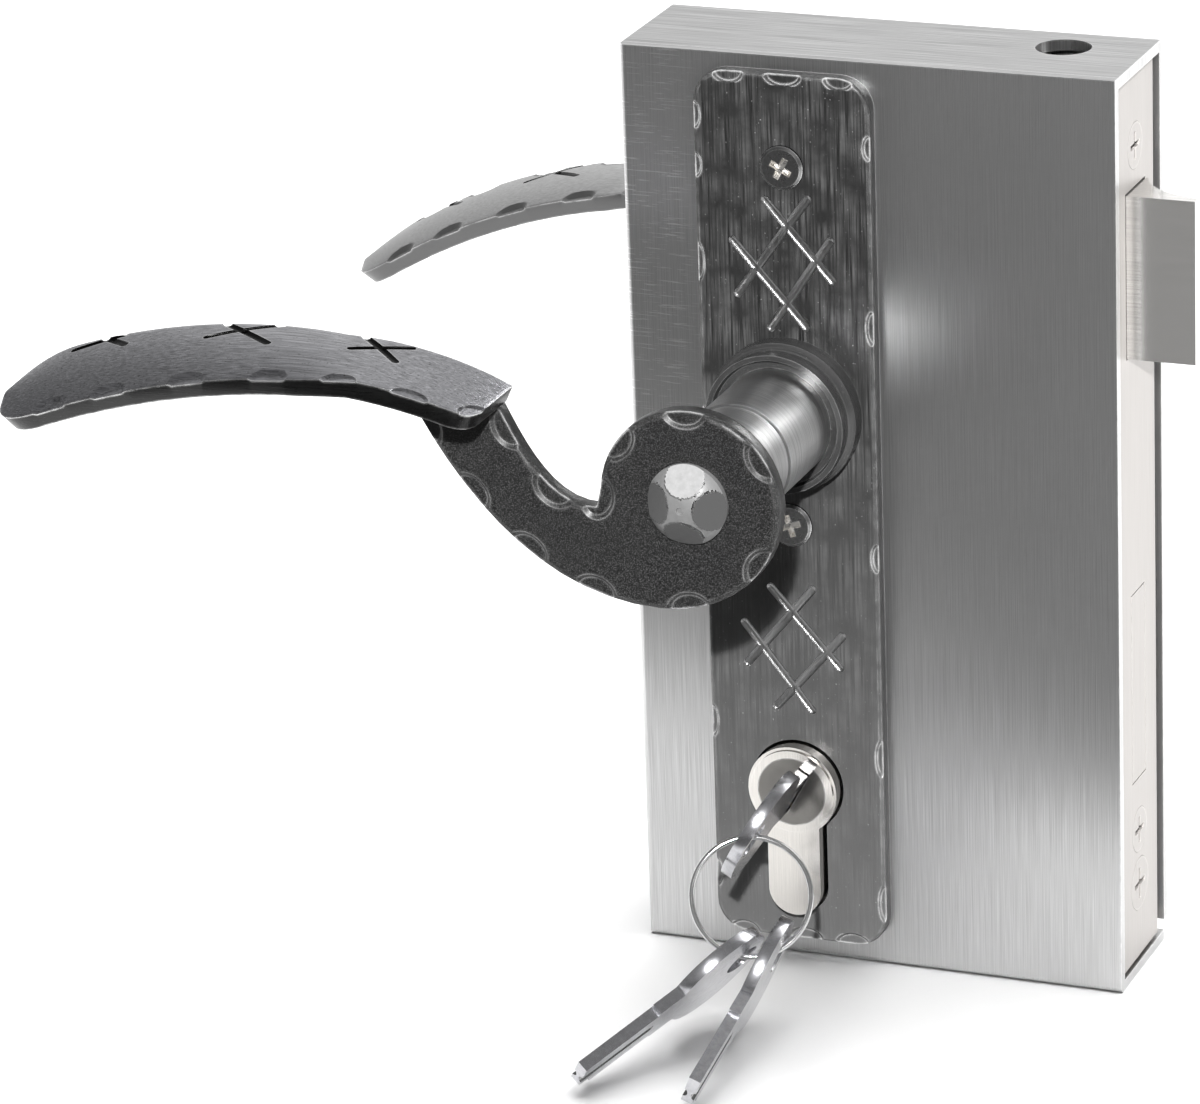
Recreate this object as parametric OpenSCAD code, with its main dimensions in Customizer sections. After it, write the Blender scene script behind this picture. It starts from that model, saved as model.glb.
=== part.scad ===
// Steel gate lock box with a mortice lock, a profile cylinder and a pair of forged lever handles.
// Millimetres. X runs towards the faceplate, Y towards the back, Z up from the box's underside.

/* [Box] */
// Width of the box, from its weld side to its open side
box_w = 92; // [89:1:120]
// Depth of the box, front to back
box_d = 28; // [27:0.5:40]
// Height of the box
box_h = 172; // [172:1:220]
// Thickness of the box's sheet
sheet = 2; // [1.5:0.1:2.4]
// Outer radius of the folded edges
fold_r = 1.2; // [0.6:0.1:4]
// Diameter of the hole in the top wall
top_hole_d = 10; // [4:0.5:14]
// Distance of the top hole from the open side
top_hole_inset = 15; // [10:0.5:25]
// Offset of the top hole towards the back
top_hole_back = 4; // [0:0.5:5]
// Side of the relief notch at the foot of the back panel
relief = 4; // [2:0.5:6]

/* [Lock] */
// Width of the faceplate
faceplate_w = 21; // [19:0.5:23]
// Thickness of the faceplate
faceplate_t = 3; // [2:0.5:4]
// Depth of the faceplate's face below the box's open edge
faceplate_recess = 0.5; // [0.2:0.1:2]
// Gap between the faceplate and the front wall
faceplate_front_gap = 0.5; // [0.2:0.1:0.8]
// Gap between each end of the faceplate and the box's outside
faceplate_end_gap = 2.5; // [2.5:0.5:6]
// Gap between the lock case and the box's weld side
case_gap = 4; // [1:0.5:8]
// How far the lock case reaches behind the spindle
case_behind = 25.5; // [25:0.5:30]
// Distance of the spindle below the box's top
spindle_drop = 65; // [62:0.5:70]
// Height of the cylinder's axis above the box's underside
cylinder_z = 35; // [32:0.5:40]
// Thickness of the lock case
case_t = 15; // [14:0.5:17]
// Gauge of the lock case's plates
case_gauge = 1.5; // [1:0.1:1.8]
// Diameter of the case pillars
pillar_d = 5; // [4:0.5:6]
// Diameter of the faceplate's fixing screw heads
fixing_head_d = 8.4; // [7:0.2:10]
// Shank diameter of the faceplate's fixing screws
fixing_d = 4; // [3:0.5:5]
// Diameter of the cylinder's retaining screw
retaining_d = 5; // [4:0.5:6]

/* [Latch and bolt] */
// How far the latch stands out of the faceplate
latch_throw = 12.6; // [10:0.1:15]
// Height of the latch head
latch_h = 30; // [24:1:32]
// Thickness of the latch head
latch_t = 11.4; // [10:0.1:11.4]
// Width of the latch's blunt tip
latch_tip = 2; // [1:0.5:4]
// Wire diameter of the latch spring
spring_wire = 0.9; // [0.6:0.1:1.2]
// Turns of the latch spring
spring_turns = 7; // [5:1:9]
// Thickness of the dead bolt
bolt_t = 7.6; // [6:0.2:9]
// Gap between the dead bolt's head and the lower backplate screw's axis
bolt_screw_gap = 11.9; // [9:0.1:16]
// How far the key throws the dead bolt
bolt_throw = 18; // [14:0.5:19]

/* [Cylinder and keys] */
// Diameter of the cylinder's round part
cylinder_d = 17; // [16.5:0.1:17.5]
// Width of the cylinder's flange
cylinder_flange = 10; // [9:0.2:11]
// Overall height of the cylinder's profile
cylinder_h = 33; // [32:0.5:34]
// How far the cylinder stands out of each backplate
cylinder_proud = 3; // [1:0.5:6]
// Diameter of the plug
plug_d = 13; // [12:0.2:13.4]
// Width of the cam
cam_w = 9; // [8:0.5:10]
// Reach of the cam's nose from the axis
cam_reach = 15; // [14.5:0.1:15.4]
// Thickness of a key
key_t = 2.2; // [1.8:0.1:2.6]
// Height of a key's blade
key_blade_h = 8; // [7:0.2:8.6]
// Length of a key's blade
key_blade_l = 18; // [17:0.5:22]
// Diameter of a key's bow
key_bow_d = 22; // [18:0.5:24]
// Length of the shoulder between bow and blade
key_shoulder = 4.7; // [3:0.1:7]
// Diameter of the ring hole in a bow
key_hole_d = 7; // [6.6:0.1:8]
// Angle of the inserted key from the vertical
key_angle = 30; // [0:1:45]
// Mean diameter of the key ring
ring_d = 21.4; // [20:0.2:26]
// Radial thickness of the ring's wire
ring_wire = 1; // [0.8:0.1:1.2]
// Width of the ring's two turns side by side
ring_width = 1.7; // [1.4:0.1:2]

/* [Handles] */
// Width of a backplate
plate_w = 33; // [30:1:40]
// Thickness of a backplate
plate_t = 3; // [2:0.5:5]
// Corner radius of a backplate
plate_r = 6; // [3:0.5:10]
// Gap between the foot of a backplate and the box's underside
plate_foot = 4.5; // [2:0.5:10]
// Gap between the top of a backplate and the box's top
plate_head = 2.5; // [1:0.5:8]
// Diameter of the backplate screws' heads
plate_screw_head = 8; // [7:0.5:10]
// Shank diameter of the backplate screws
plate_screw_d = 5; // [4:0.5:5.5]
// Distance of the lower backplate screw below the spindle
lower_screw_drop = 21.5; // [20:0.5:24]
// Distance of the upper backplate screw below the box's top
upper_screw_drop = 19.5; // [18:0.5:21]
// Side of the square spindle
spindle_side = 8; // [7:0.5:9]
// Diameter of a collar at the backplate
collar_d = 28; // [26:0.5:34]
// Height of a collar
collar_h = 7.5; // [5:0.5:10]
// Diameter of a neck
neck_d = 20.5; // [18:0.5:22]
// Length of a neck, from the backplate to the scroll
neck_l = 45.3; // [35:0.1:60]
// Thickness of a scroll
scroll_t = 4; // [3:0.5:6]
// Radius of a scroll's round eye
eye_r = 16.6; // [14:0.2:20]
// Depth of a scroll below the spindle's axis
scroll_drop = 20.3; // [18:0.1:26]
// Diameter of a rivet's head
rivet_head_d = 14.5; // [12:0.5:18]
// Height of a rivet's head
rivet_head_h = 4.5; // [3:0.5:7]
// Length of a grip leaf
grip_l = 94; // [75:1:120]
// Width of a grip leaf at its widest
grip_w = 23; // [18:0.5:28]
// Thickness of a grip leaf
grip_t = 3.2; // [2.4:0.1:5]
// Twist of the front leaf at its tip, outer edge down
front_twist = 19; // [0:1:25]
// Twist of the rear leaf at its tip, outer edge up
rear_twist = 9; // [0:1:25]
// How far the rear lever droops on its neck
rear_droop = 10.5; // [0:0.5:15]
// How far the rear leaf sweeps away from the box at its tip
rear_sweep = 11.5; // [0:0.5:20]

/* [Hidden] */
$fn = 64;

// Clearances
run_fit = 0.05;      // radial, between a turning piece and its bearing
seam = 0.1;          // between pieces that are welded or pressed together
slide_gap = 0.3;     // between a sliding piece and its guide
cut = 1;             // how far a cutting solid runs past the face it cuts

// Places on the box
left_x = -box_w/2;
right_x = box_w/2;
front_y = -box_d/2;
back_y = box_d/2;
inner_front_y = front_y + sheet;
inner_back_y = back_y - sheet;
fold_inner_r = 0.3;
corner_clear = max(fold_r, sheet + fold_inner_r);   // room that a folded corner takes up

// Places of the lock
face_x = right_x - faceplate_recess;
lock_y = inner_front_y + faceplate_front_gap + faceplate_w/2;
case_x0 = left_x + sheet + case_gap;
spindle_x = case_x0 + case_behind;
spindle_z = box_h - spindle_drop;
backset = face_x - spindle_x;
centres = spindle_z - cylinder_z;
case_x1 = face_x - faceplate_t;
case_z0 = cylinder_z - 26;
case_z1 = spindle_z + 56;
case_y0 = lock_y - case_t/2;
case_y1 = lock_y + case_t/2;
inside_y0 = case_y0 + case_gauge;
inside_y1 = case_y1 - case_gauge;
upper_fixing_z = spindle_z + 49.7;
lower_fixing_z = cylinder_z - 7.8;
fixing_boss = 10;    // side and depth of the threaded bosses behind the faceplate
fixing_l = 9;        // length of the fixing screws
retaining_drop = 18.4;
retaining_z = cylinder_z - retaining_drop;
pillar_r = pillar_d/2;
pillar_seats = [
    [case_x0 + 6, case_z0 + 7], [face_x - 25.5, cylinder_z - 7],
    [case_x0 + 6, case_z1 - 6], [face_x - 21.5, case_z1 - 6]
];
bolt_pillar = [spindle_x + 17.5, cylinder_z + centres - lower_screw_drop - bolt_screw_gap - 5.2];
case_screw_d = 3;
case_screw_l = 6;
case_screw_head = 1.4;
pillar_floor = 2;
bridge_half = 9;     // half the height of the bridge that the latch's tail runs through

// Latch train
latch_z = spindle_z + 27.1;
latch_body_l = 20;   // length of the latch head behind the faceplate's face
arm_reach = 20;      // radius at which the follower's arm meets the latch hook
arm_tip_r = 3;
arm_gap = 0.5;
hook_l = 5;
tail_h = 6;
tail_t = 5;
arm_t = 6;
hub_r = 11;
boss_r = 9;
hook_x1 = spindle_x - arm_tip_r - arm_gap;
hook_x0 = hook_x1 - hook_l;
bridge_x0 = spindle_x + 13;
bridge_x1 = bridge_x0 + 2;
spring_r = 4.9;
latch_back_x = face_x - latch_body_l;

// Bolt train
bolt_rise = 2.6;     // height of the bolt's foot above the cylinder's axis
bolt_z0 = cylinder_z + bolt_rise;
bolt_h = centres - lower_screw_drop - bolt_screw_gap - bolt_rise;
bolt_head_l = 35;
bolt_tail_z0 = cylinder_z + 11;
bolt_tail_x0 = spindle_x - 18.5;
notch_z1 = cylinder_z + cam_reach + 1.5;
notch_x0 = spindle_x - 14.3;
notch_x1 = spindle_x - 4.2;
cam_start = 50;      // degrees that the nose stands before the top at rest
nose_w = 6;
cam_r = 8;

// Cylinder
plate_front_y = front_y - plate_t;
cylinder_y0 = plate_front_y - cylinder_proud;
cylinder_y1 = -cylinder_y0;
cam_y0 = lock_y - cam_w/2;
cam_y1 = lock_y + cam_w/2;
cylinder_drop = cylinder_h - cylinder_d/2 - cylinder_flange/2;
plug_r = plug_d/2;
plug_proud = 0.4;
keyway_gap = 0.2;
pin_r = 1.4;
pin_pitch = 4;
pin_first = 3.2;     // depth of the first pin behind the cylinder's face
pin_count = 3;

// Keys, drawn with the ring hole at the origin and the blade along +X
bow_r = key_bow_d/2;
hole_inset = 5;      // from the hole's centre to the end of the bow
hole_to_centre = bow_r - hole_inset;
hole_to_shoulder = hole_to_centre + bow_r + key_shoulder;
hole_to_tip = hole_to_shoulder + key_blade_l;
key_face_gap = 0.4;  // between the shoulder and the plug
key_hole_y = cylinder_y0 - plug_proud - key_face_gap - hole_to_shoulder;
ring_r = ring_d/2;
ring_turn = 22.5;    // heading of the ring's plane
ring_lean = 20;      // how far the ring's foot swings forward
ring_side = [cos(ring_turn), sin(ring_turn), 0];
ring_down = [sin(ring_turn)*sin(ring_lean), -cos(ring_turn)*sin(ring_lean), -cos(ring_lean)];
ring_hole = [spindle_x, key_hole_y, cylinder_z];
ring_centre = ring_hole + ring_r*ring_down;
left_spare_at = -15; // degrees round the ring from its foot
left_spare_heading = 28;
left_spare_dip = 16.5;
left_spare_roll = 40;
right_spare_at = 20;
right_spare_heading = 3;
right_spare_dip = 16.5;
right_spare_roll = 24;

// Handles
plate_z0 = plate_foot;
plate_z1 = box_h - plate_head;
upper_screw_z = box_h - upper_screw_drop;
lower_screw_z = spindle_z - lower_screw_drop;
sleeve_r = plate_screw_d/2 + 0.9;
sleeve_y0 = -2;
screw_end_y = 11;
screw_dome = 0.7;
sink_depth = 1.8;
collar_front_y = plate_front_y - collar_h;
collar_rim_d = collar_d - 2;
neck_r = neck_d/2;
neck_gap = 0.2;
neck_y1 = plate_front_y - neck_gap;
neck_y0 = neck_y1 - neck_l;
neck_step = 26;      // length of the thicker length of a neck
neck_slim = 0.35;
scroll_y1 = neck_y0;
scroll_y0 = scroll_y1 - scroll_t;
rivet_r = 4;
rivet_depth = 6;     // how far the rivet's shank runs into the neck
spindle_end_y = neck_y0 + 12;
spindle_hole = 8;    // radius of the spindle's holes in the sheet and plates
spindle_fit = 0.05;
grub_y = neck_y1 - 16;
grub_d = 5;

// Leaf and scroll outlines, from the spindle's axis in X and Z
grip_root = [-eye_r - 17, 16.8];
leaf = [
    grip_root,
    grip_root + [-0.255*grip_l, 11.2],
    grip_root + [-0.64*grip_l, 8.7],
    grip_root + [-grip_l, -6.8]
];
leaf_half = [grip_w/2 - 2.2, grip_w/2 + 0.3, grip_w/2 + 0.3, grip_w/2 - 2];
leaf_sections = 26;
leaf_tip = 0.9;      // where along the leaf its rounded tip starts
leaf_heel = 0.06;    // where along the leaf its rounded heel ends
leaf_heel_r = 4.5;
twist_from = 0.27;
seat_from = 0.02;    // stretch of the leaf that the scroll carries
seat_to = 0.26;

function bezier(p, t) =
    pow(1 - t, 3)*p[0] + 3*t*pow(1 - t, 2)*p[1] + 3*t*t*(1 - t)*p[2] + pow(t, 3)*p[3];
function bezier_run(p, steps) = [for (i = [0:steps]) bezier(p, i/steps)];
function arc_run(r, a0, a1, steps) =
    [for (i = [0:steps]) r*[cos(a0 + (a1 - a0)*i/steps), sin(a0 + (a1 - a0)*i/steps)]];
function unit(v) = v/norm(v);
function clamp01(v) = min(1, max(0, v));

// Solids along one axis
module block(x0, y0, z0, x1, y1, z1) {
    translate([x0, y0, z0]) cube([x1 - x0, y1 - y0, z1 - z0]);
}

module y_rod(r, y0, y1) {
    translate([0, y1, 0]) rotate([90, 0, 0]) cylinder(r=r, h=y1 - y0);
}

module y_cone(r0, r1, y0, y1) {
    translate([0, y1, 0]) rotate([90, 0, 0]) cylinder(r1=r1, r2=r0, h=y1 - y0);
}

module x_rod(r, x0, x1) {
    translate([x0, 0, 0]) rotate([0, 90, 0]) cylinder(r=r, h=x1 - x0);
}

module y_slab(y0, y1) {
    translate([0, y1, 0]) rotate([90, 0, 0]) linear_extrude(y1 - y0) children();
}

module x_slab(x0, x1) {
    translate([x0, 0, 0]) rotate([90, 0, 90]) linear_extrude(x1 - x0) children();
}

// A turned solid on the Y axis, from points of radius and depth towards -Y
module y_turned(points) {
    rotate([90, 0, 0]) rotate_extrude() polygon(points);
}

module in_frame(origin, ex, ez) {
    ey = cross(ez, ex);
    multmatrix([
        [ex.x, ey.x, ez.x, origin.x],
        [ex.y, ey.y, ez.y, origin.y],
        [ex.z, ey.z, ez.z, origin.z],
        [0, 0, 0, 1]
    ]) children();
}

module at_spindle() {
    translate([spindle_x, 0, spindle_z]) children();
}

module at_cylinder() {
    translate([spindle_x, 0, cylinder_z]) children();
}

module at_plate_screws() {
    for (z = [upper_screw_z, lower_screw_z]) translate([spindle_x, 0, z]) children();
}

module rear_side() {
    mirror([0, 1, 0]) children();
}

// A rectangle with its low corner rounded
module low_corner_rect(x0, y0, x1, y1, r) {
    difference() {
        translate([x0, y0]) square([x1 - x0, y1 - y0]);
        difference() {
            translate([x0 - cut, y0 - cut]) square(r + cut);
            translate([x0 + r, y0 + r]) circle(r);
        }
    }
}

module rounded_rect(x0, y0, x1, y1, r) {
    translate([x0 + r, y0]) square([x1 - x0 - 2*r, y1 - y0]);
    translate([x0, y0 + r]) square([x1 - x0, y1 - y0 - 2*r]);
    for (x = [x0 + r, x1 - r], y = [y0 + r, y1 - r]) translate([x, y]) circle(r);
}

module euro_profile(grow) {
    circle(cylinder_d/2 + grow);
    translate([0, -cylinder_drop]) circle(cylinder_flange/2 + grow);
    translate([-cylinder_flange/2 - grow, -cylinder_drop])
        square([cylinder_flange + 2*grow, cylinder_drop]);
}

module cross_recess(depth, span, width) {
    for (turn = [0, 90]) rotate([0, turn, 0])
        block(-span/2, -depth, -width/2, span/2, depth, width/2);
}

// Holes that the handles and the cylinder need in every sheet they pass through
module wall_holes(y0, y1, screw_r) {
    at_spindle() y_rod(spindle_hole, y0, y1);
    at_cylinder() y_slab(y0, y1) euro_profile(0.4);
    at_plate_screws() y_rod(screw_r, y0, y1);
}

// Front panel with the floor and the weld side folded from one sheet
module folded_front(inset, x_end, y_end, z_end) {
    r = max(fold_r - inset, fold_inner_r);
    intersection() {
        x_slab(left_x + inset, x_end)
            low_corner_rect(front_y + inset, inset, y_end, z_end, r);
        linear_extrude(z_end) low_corner_rect(left_x + inset, front_y + inset, x_end, y_end, r);
    }
}

module box_front_shell() {
    color("darkgray") difference() {
        folded_front(0, right_x, inner_back_y, box_h);
        folded_front(sheet, right_x + cut, inner_back_y + cut, box_h + cut);
        block(left_x - cut, inner_front_y, box_h - sheet, left_x + corner_clear + cut, back_y, box_h + cut);
        block(left_x - cut, back_y - corner_clear, box_h - corner_clear,
            left_x + corner_clear + cut, back_y, box_h + cut);
        wall_holes(front_y - cut, inner_front_y + cut, plate_screw_d/2 + 0.5);
    }
}

// Back panel with the top wall folded from it
module folded_back(inset, x0, x1, y0, z0) {
    x_slab(x0, x1) rotate(180)
        low_corner_rect(-back_y + inset, -box_h + inset, -y0, -z0,
            max(fold_r - inset, fold_inner_r));
}

module box_back_shell() {
    color("silver") difference() {
        folded_back(0, left_x, right_x, inner_front_y, 0);
        folded_back(sheet, left_x - cut, right_x + cut, inner_front_y - cut, -cut);
        block(right_x - relief, inner_back_y - cut, -cut, right_x + cut, back_y + cut, relief);
        translate([right_x - top_hole_inset, top_hole_back, box_h - sheet - cut])
            cylinder(d=top_hole_d, h=sheet + 2*cut);
        wall_holes(inner_back_y - cut, back_y + cut, sleeve_r + 0.3);
    }
}

// Faceplate with its latch and bolt windows
module latch_window(x0, x1) {
    block(x0, lock_y - latch_t/2 - slide_gap, latch_z - latch_h/2 - slide_gap,
        x1, lock_y + latch_t/2 + slide_gap, latch_z + latch_h/2 + slide_gap);
}

module bolt_window(x0, x1) {
    block(x0, lock_y - bolt_t/2 - slide_gap, bolt_z0 - slide_gap,
        x1, lock_y + bolt_t/2 + slide_gap, bolt_z0 + bolt_h + slide_gap);
}

module countersunk(head_d, shank_d, length, grow) {
    sink = (head_d - shank_d)/2;
    translate([-sink, 0, 0]) rotate([0, 90, 0])
        cylinder(r1=shank_d/2 + grow, r2=head_d/2 + grow, h=sink);
    x_rod(shank_d/2 + grow, -length, -sink + grow/2);
}

module faceplate() {
    color("seashell") difference() {
        block(case_x1, lock_y - faceplate_w/2, faceplate_end_gap,
            face_x, lock_y + faceplate_w/2, box_h - faceplate_end_gap);
        latch_window(case_x1 - cut, face_x + cut);
        bolt_window(case_x1 - cut, face_x + cut);
        for (z = [upper_fixing_z, lower_fixing_z]) translate([face_x, lock_y, z])
            countersunk(fixing_head_d, fixing_d, fixing_l, seam);
        translate([face_x, lock_y, retaining_z])
            countersunk(2*retaining_d, retaining_d, fixing_l, seam);
    }
}

module screw_slots(head_d) {
    rotate([0, 0, 90]) cross_recess(1.2, 0.6*head_d, 1);
}

module faceplate_screws() {
    color("silver") for (z = [upper_fixing_z, lower_fixing_z]) translate([face_x, lock_y, z])
        difference() {
            countersunk(fixing_head_d, fixing_d, fixing_l, 0);
            screw_slots(fixing_head_d);
        }
}

module retaining_screw() {
    color("silver") translate([face_x, lock_y, retaining_z]) difference() {
        countersunk(2*retaining_d, retaining_d, backset + retaining_d, 0);
        screw_slots(2*retaining_d);
    }
}

// Lock case: a tray, its cover, and what holds them together
module case_holes(y0, y1) {
    at_spindle() y_rod(boss_r + run_fit, y0, y1);
    at_cylinder() y_slab(y0, y1) euro_profile(0.4);
    at_plate_screws() y_rod(sleeve_r + 0.5, y0, y1);
}

module case_screw_holes(r, y0, y1) {
    for (seat = concat(pillar_seats, [bolt_pillar])) translate([seat.x, 0, seat.y]) y_rod(r, y0, y1);
}

module lock_case() {
    color("gainsboro") difference() {
        union() {
            difference() {
                block(case_x0, inside_y0, case_z0, case_x1, case_y1, case_z1);
                block(case_x0 + case_gauge, inside_y0 - cut, case_z0 + case_gauge,
                    case_x1 - case_gauge, inside_y1, case_z1 - case_gauge);
            }
            for (z = [upper_fixing_z, lower_fixing_z])
                block(case_x1 - fixing_boss, lock_y - fixing_boss/2, z - fixing_boss/2,
                    case_x1, inside_y1 + cut/2, z + fixing_boss/2);
            block(bridge_x0, inside_y0, latch_z - bridge_half,
                bridge_x1, inside_y1 + cut/2, latch_z + bridge_half);
        }
        case_holes(inside_y1 - cut, case_y1 + cut);
        latch_window(case_x1 - case_gauge - cut, case_x1 + cut);
        bolt_window(case_x1 - case_gauge - cut, case_x1 + cut);
        block(bridge_x0 - cut, lock_y - tail_t/2 - slide_gap, latch_z - tail_h/2 - slide_gap,
            bridge_x1 + cut, lock_y + tail_t/2 + slide_gap, latch_z + tail_h/2 + slide_gap);
        for (z = [upper_fixing_z, lower_fixing_z]) translate([face_x, lock_y, z])
            x_rod(fixing_d/2 + seam, -faceplate_t - fixing_boss - cut, 0);
        translate([case_x1, lock_y, retaining_z])
            x_rod(retaining_d/2 + 0.5, -case_gauge - cut, cut);
    }
}

module case_cover() {
    color("lightgray") difference() {
        block(case_x0, case_y0, case_z0, case_x1, inside_y0, case_z1);
        case_holes(case_y0 - cut, inside_y0 + cut);
        case_screw_holes(case_screw_d/2 + seam, case_y0 - cut, inside_y0 + cut);
    }
}

module case_pillars() {
    color("goldenrod") difference() {
        case_screw_holes(pillar_r, inside_y0, inside_y1);
        case_screw_holes(case_screw_d/2 + seam, inside_y0 - cut, inside_y1 - pillar_floor);
    }
}

module case_screws() {
    color("silver") difference() {
        union() {
            case_screw_holes(case_screw_d/2, case_y0, inside_y0 + case_screw_l);
            case_screw_holes(0.93*case_screw_d, case_y0 - case_screw_head, case_y0);
        }
        for (seat = concat(pillar_seats, [bolt_pillar]))
            translate([seat.x, case_y0 - case_screw_head, seat.y])
                cross_recess(0.6*case_screw_head, 1.1*case_screw_d, 0.24*case_screw_d);
    }
}

// Latch head, tail and hook in one piece
module latch_bolt() {
    tip_x = face_x + latch_throw;
    half = latch_t/2;
    hollow = bezier_run([
        [tip_x, latch_tip - half], [face_x + 0.6*latch_throw, -0.5*half],
        [face_x + 0.19*latch_throw, -0.09*half], [face_x + 0.6, half]
    ], 10);
    color("lightgray") {
        translate([0, lock_y, latch_z - latch_h/2]) linear_extrude(latch_h) polygon([
            [latch_back_x, -half], [tip_x, -half], each hollow, [latch_back_x, half]
        ]);
        block(hook_x0, lock_y - tail_t/2, latch_z - tail_h/2,
            latch_back_x + cut, lock_y + tail_t/2, latch_z + tail_h/2);
        block(hook_x0, lock_y - tail_t/2, spindle_z + arm_reach - 6.5,
            hook_x1, lock_y + tail_t/2, latch_z + tail_h/2);
    }
}

// Compression spring round the latch tail, between the bridge and the latch head
module latch_spring() {
    sides = 6;
    rings = 8*spring_turns;
    length = latch_back_x - bridge_x1 - spring_wire - 2*seam;
    start = bridge_x1 + spring_wire/2 + seam;
    function spring_point(i, j) =
        let (turn = 360*i*spring_turns/rings, side = 360*j/sides,
             r = spring_r + spring_wire/2*cos(side))
        [start + length*i/rings + spring_wire/2*sin(side), lock_y + r*cos(turn), latch_z + r*sin(turn)];
    points = [for (i = [0:rings], j = [0:sides - 1]) spring_point(i, j)];
    walls = [for (i = [0:rings - 1], j = [0:sides - 1], half = [0, 1])
        let (a = i*sides + j, b = i*sides + (j + 1)%sides)
        half == 0 ? [a, a + sides, b] : [b, a + sides, b + sides]];
    ends = [for (j = [1:sides - 2]) each [[0, j, j + 1],
        [rings*sides, rings*sides + j + 1, rings*sides + j]]];
    echo(least_gap_between_turns=length/spring_turns - spring_wire);
    color("gray") polyhedron(points, concat(walls, ends));
}

module square_bar(side, y0, y1) {
    block(-side/2, y0, -side/2, side/2, y1, side/2);
}

module follower() {
    color("goldenrod") at_spindle() difference() {
        union() {
            y_rod(boss_r, case_y0, case_y1);
            y_rod(hub_r, inside_y0 + slide_gap/2, inside_y1 - slide_gap/2);
            block(-arm_tip_r, lock_y - arm_t/2, 0, arm_tip_r, lock_y + arm_t/2, arm_reach);
            translate([0, 0, arm_reach]) y_rod(arm_tip_r, lock_y - arm_t/2, lock_y + arm_t/2);
        }
        square_bar(spindle_side + 2*spindle_fit, case_y0 - cut, case_y1 + cut);
    }
}

module spindle() {
    color("dimgray") at_spindle() square_bar(spindle_side, spindle_end_y, -spindle_end_y);
}

// Dead bolt: a tall head, and a tail with the cam's notch and a guide slot
module dead_bolt() {
    slot_h = pillar_d + 2*slide_gap;
    slot_x0 = bolt_pillar.x - bolt_throw - pillar_r - slide_gap;
    slot_x1 = bolt_pillar.x + pillar_r + slide_gap;
    color("lightgray") y_slab(lock_y - bolt_t/2, lock_y + bolt_t/2) difference() {
        union() {
            translate([face_x - bolt_head_l, bolt_z0]) square([bolt_head_l, bolt_h]);
            translate([bolt_tail_x0, bolt_tail_z0])
                square([face_x - bolt_head_l - bolt_tail_x0 + cut, bolt_z0 + bolt_h - bolt_tail_z0]);
        }
        translate([notch_x0, bolt_tail_z0 - cut])
            square([notch_x1 - notch_x0, notch_z1 - bolt_tail_z0 + cut]);
        translate([slot_x0, bolt_pillar.y - slot_h/2]) square([slot_x1 - slot_x0, slot_h]);
    }
}

// Leaf spring, clamped to the end wall of the case, that holds the bolt down
module bolt_leaf_spring() {
    strip_w = 4;
    strip_t = 0.6;
    z = bolt_z0 + bolt_h + slide_gap;
    wall_x = case_x0 + case_gauge;
    color("gray") {
        block(wall_x, lock_y - strip_w/2, z, spindle_x - 4, lock_y + strip_w/2, z + strip_t);
        block(wall_x, lock_y - strip_w/2, z, wall_x + strip_t, lock_y + strip_w/2, z + 8);
    }
}

// Profile cylinder, plugs and cam
module pin_rows(y_start, r, from, to) {
    for (i = [0:pin_count - 1]) translate([0, y_start + pin_first + i*pin_pitch, -to])
        cylinder(r=r, h=to - from);
}

module cylinder_body() {
    rim_r = cylinder_d/2 - 0.6;
    color("gainsboro") at_cylinder() difference() {
        union() {
            y_slab(cylinder_y0, cylinder_y1) euro_profile(0);
            y_rod(rim_r, cylinder_y0 - plug_proud, cylinder_y1 + plug_proud);
        }
        y_rod(plug_r + run_fit, cylinder_y0 - cut, cylinder_y1 + cut);
        block(-cylinder_d, cam_y0 - slide_gap, -cam_reach - 0.6, cylinder_d, cam_y1 + slide_gap, cylinder_d);
        translate([0, lock_y, -retaining_drop]) x_rod(retaining_d/2 + seam, -cylinder_d, cylinder_d);
        pin_rows(cylinder_y0, pin_r + seam, 0, cylinder_drop - 2);
    }
}

module plug(y0, y1) {
    y_rod(plug_r, y0, y1);
}

module keyway(y0, y1) {
    block(-key_t/2 - keyway_gap, y0, -key_blade_h/2 - keyway_gap,
        key_t/2 + keyway_gap, y1, key_blade_h/2 + keyway_gap);
}

module front_plug() {
    color("khaki") at_cylinder() rotate([0, key_angle, 0]) difference() {
        plug(cylinder_y0 - plug_proud, cam_y0 - seam);
        keyway(cylinder_y0 - plug_proud - cut, cam_y0 + cut);
        pin_rows(cylinder_y0, pin_r + seam, 0, plug_r + cut);
    }
}

module rear_plug() {
    color("khaki") at_cylinder() difference() {
        plug(cam_y1 + seam, cylinder_y1 + plug_proud);
        keyway(cam_y1 - cut, cylinder_y1 + plug_proud + cut);
    }
}

module cylinder_cam() {
    color("darkkhaki") at_cylinder() difference() {
        union() {
            y_rod(cam_r, cam_y0, cam_y1);
            rotate([0, -cam_start, 0]) block(-nose_w/2, cam_y0, 0, nose_w/2, cam_y1, cam_reach);
        }
        y_rod(key_blade_h/2 + 1, cam_y0 - cut, cam_y1 + cut);
    }
}

module key_pins() {
    color("gold") at_cylinder() rotate([0, key_angle, 0])
        pin_rows(cylinder_y0, pin_r, key_blade_h/2 + 2*keyway_gap, plug_r - 0.25);
}

module driver_pins() {
    color("gold") at_cylinder() pin_rows(cylinder_y0, pin_r, plug_r + 0.25, cylinder_drop - 2 - seam);
}

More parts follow.
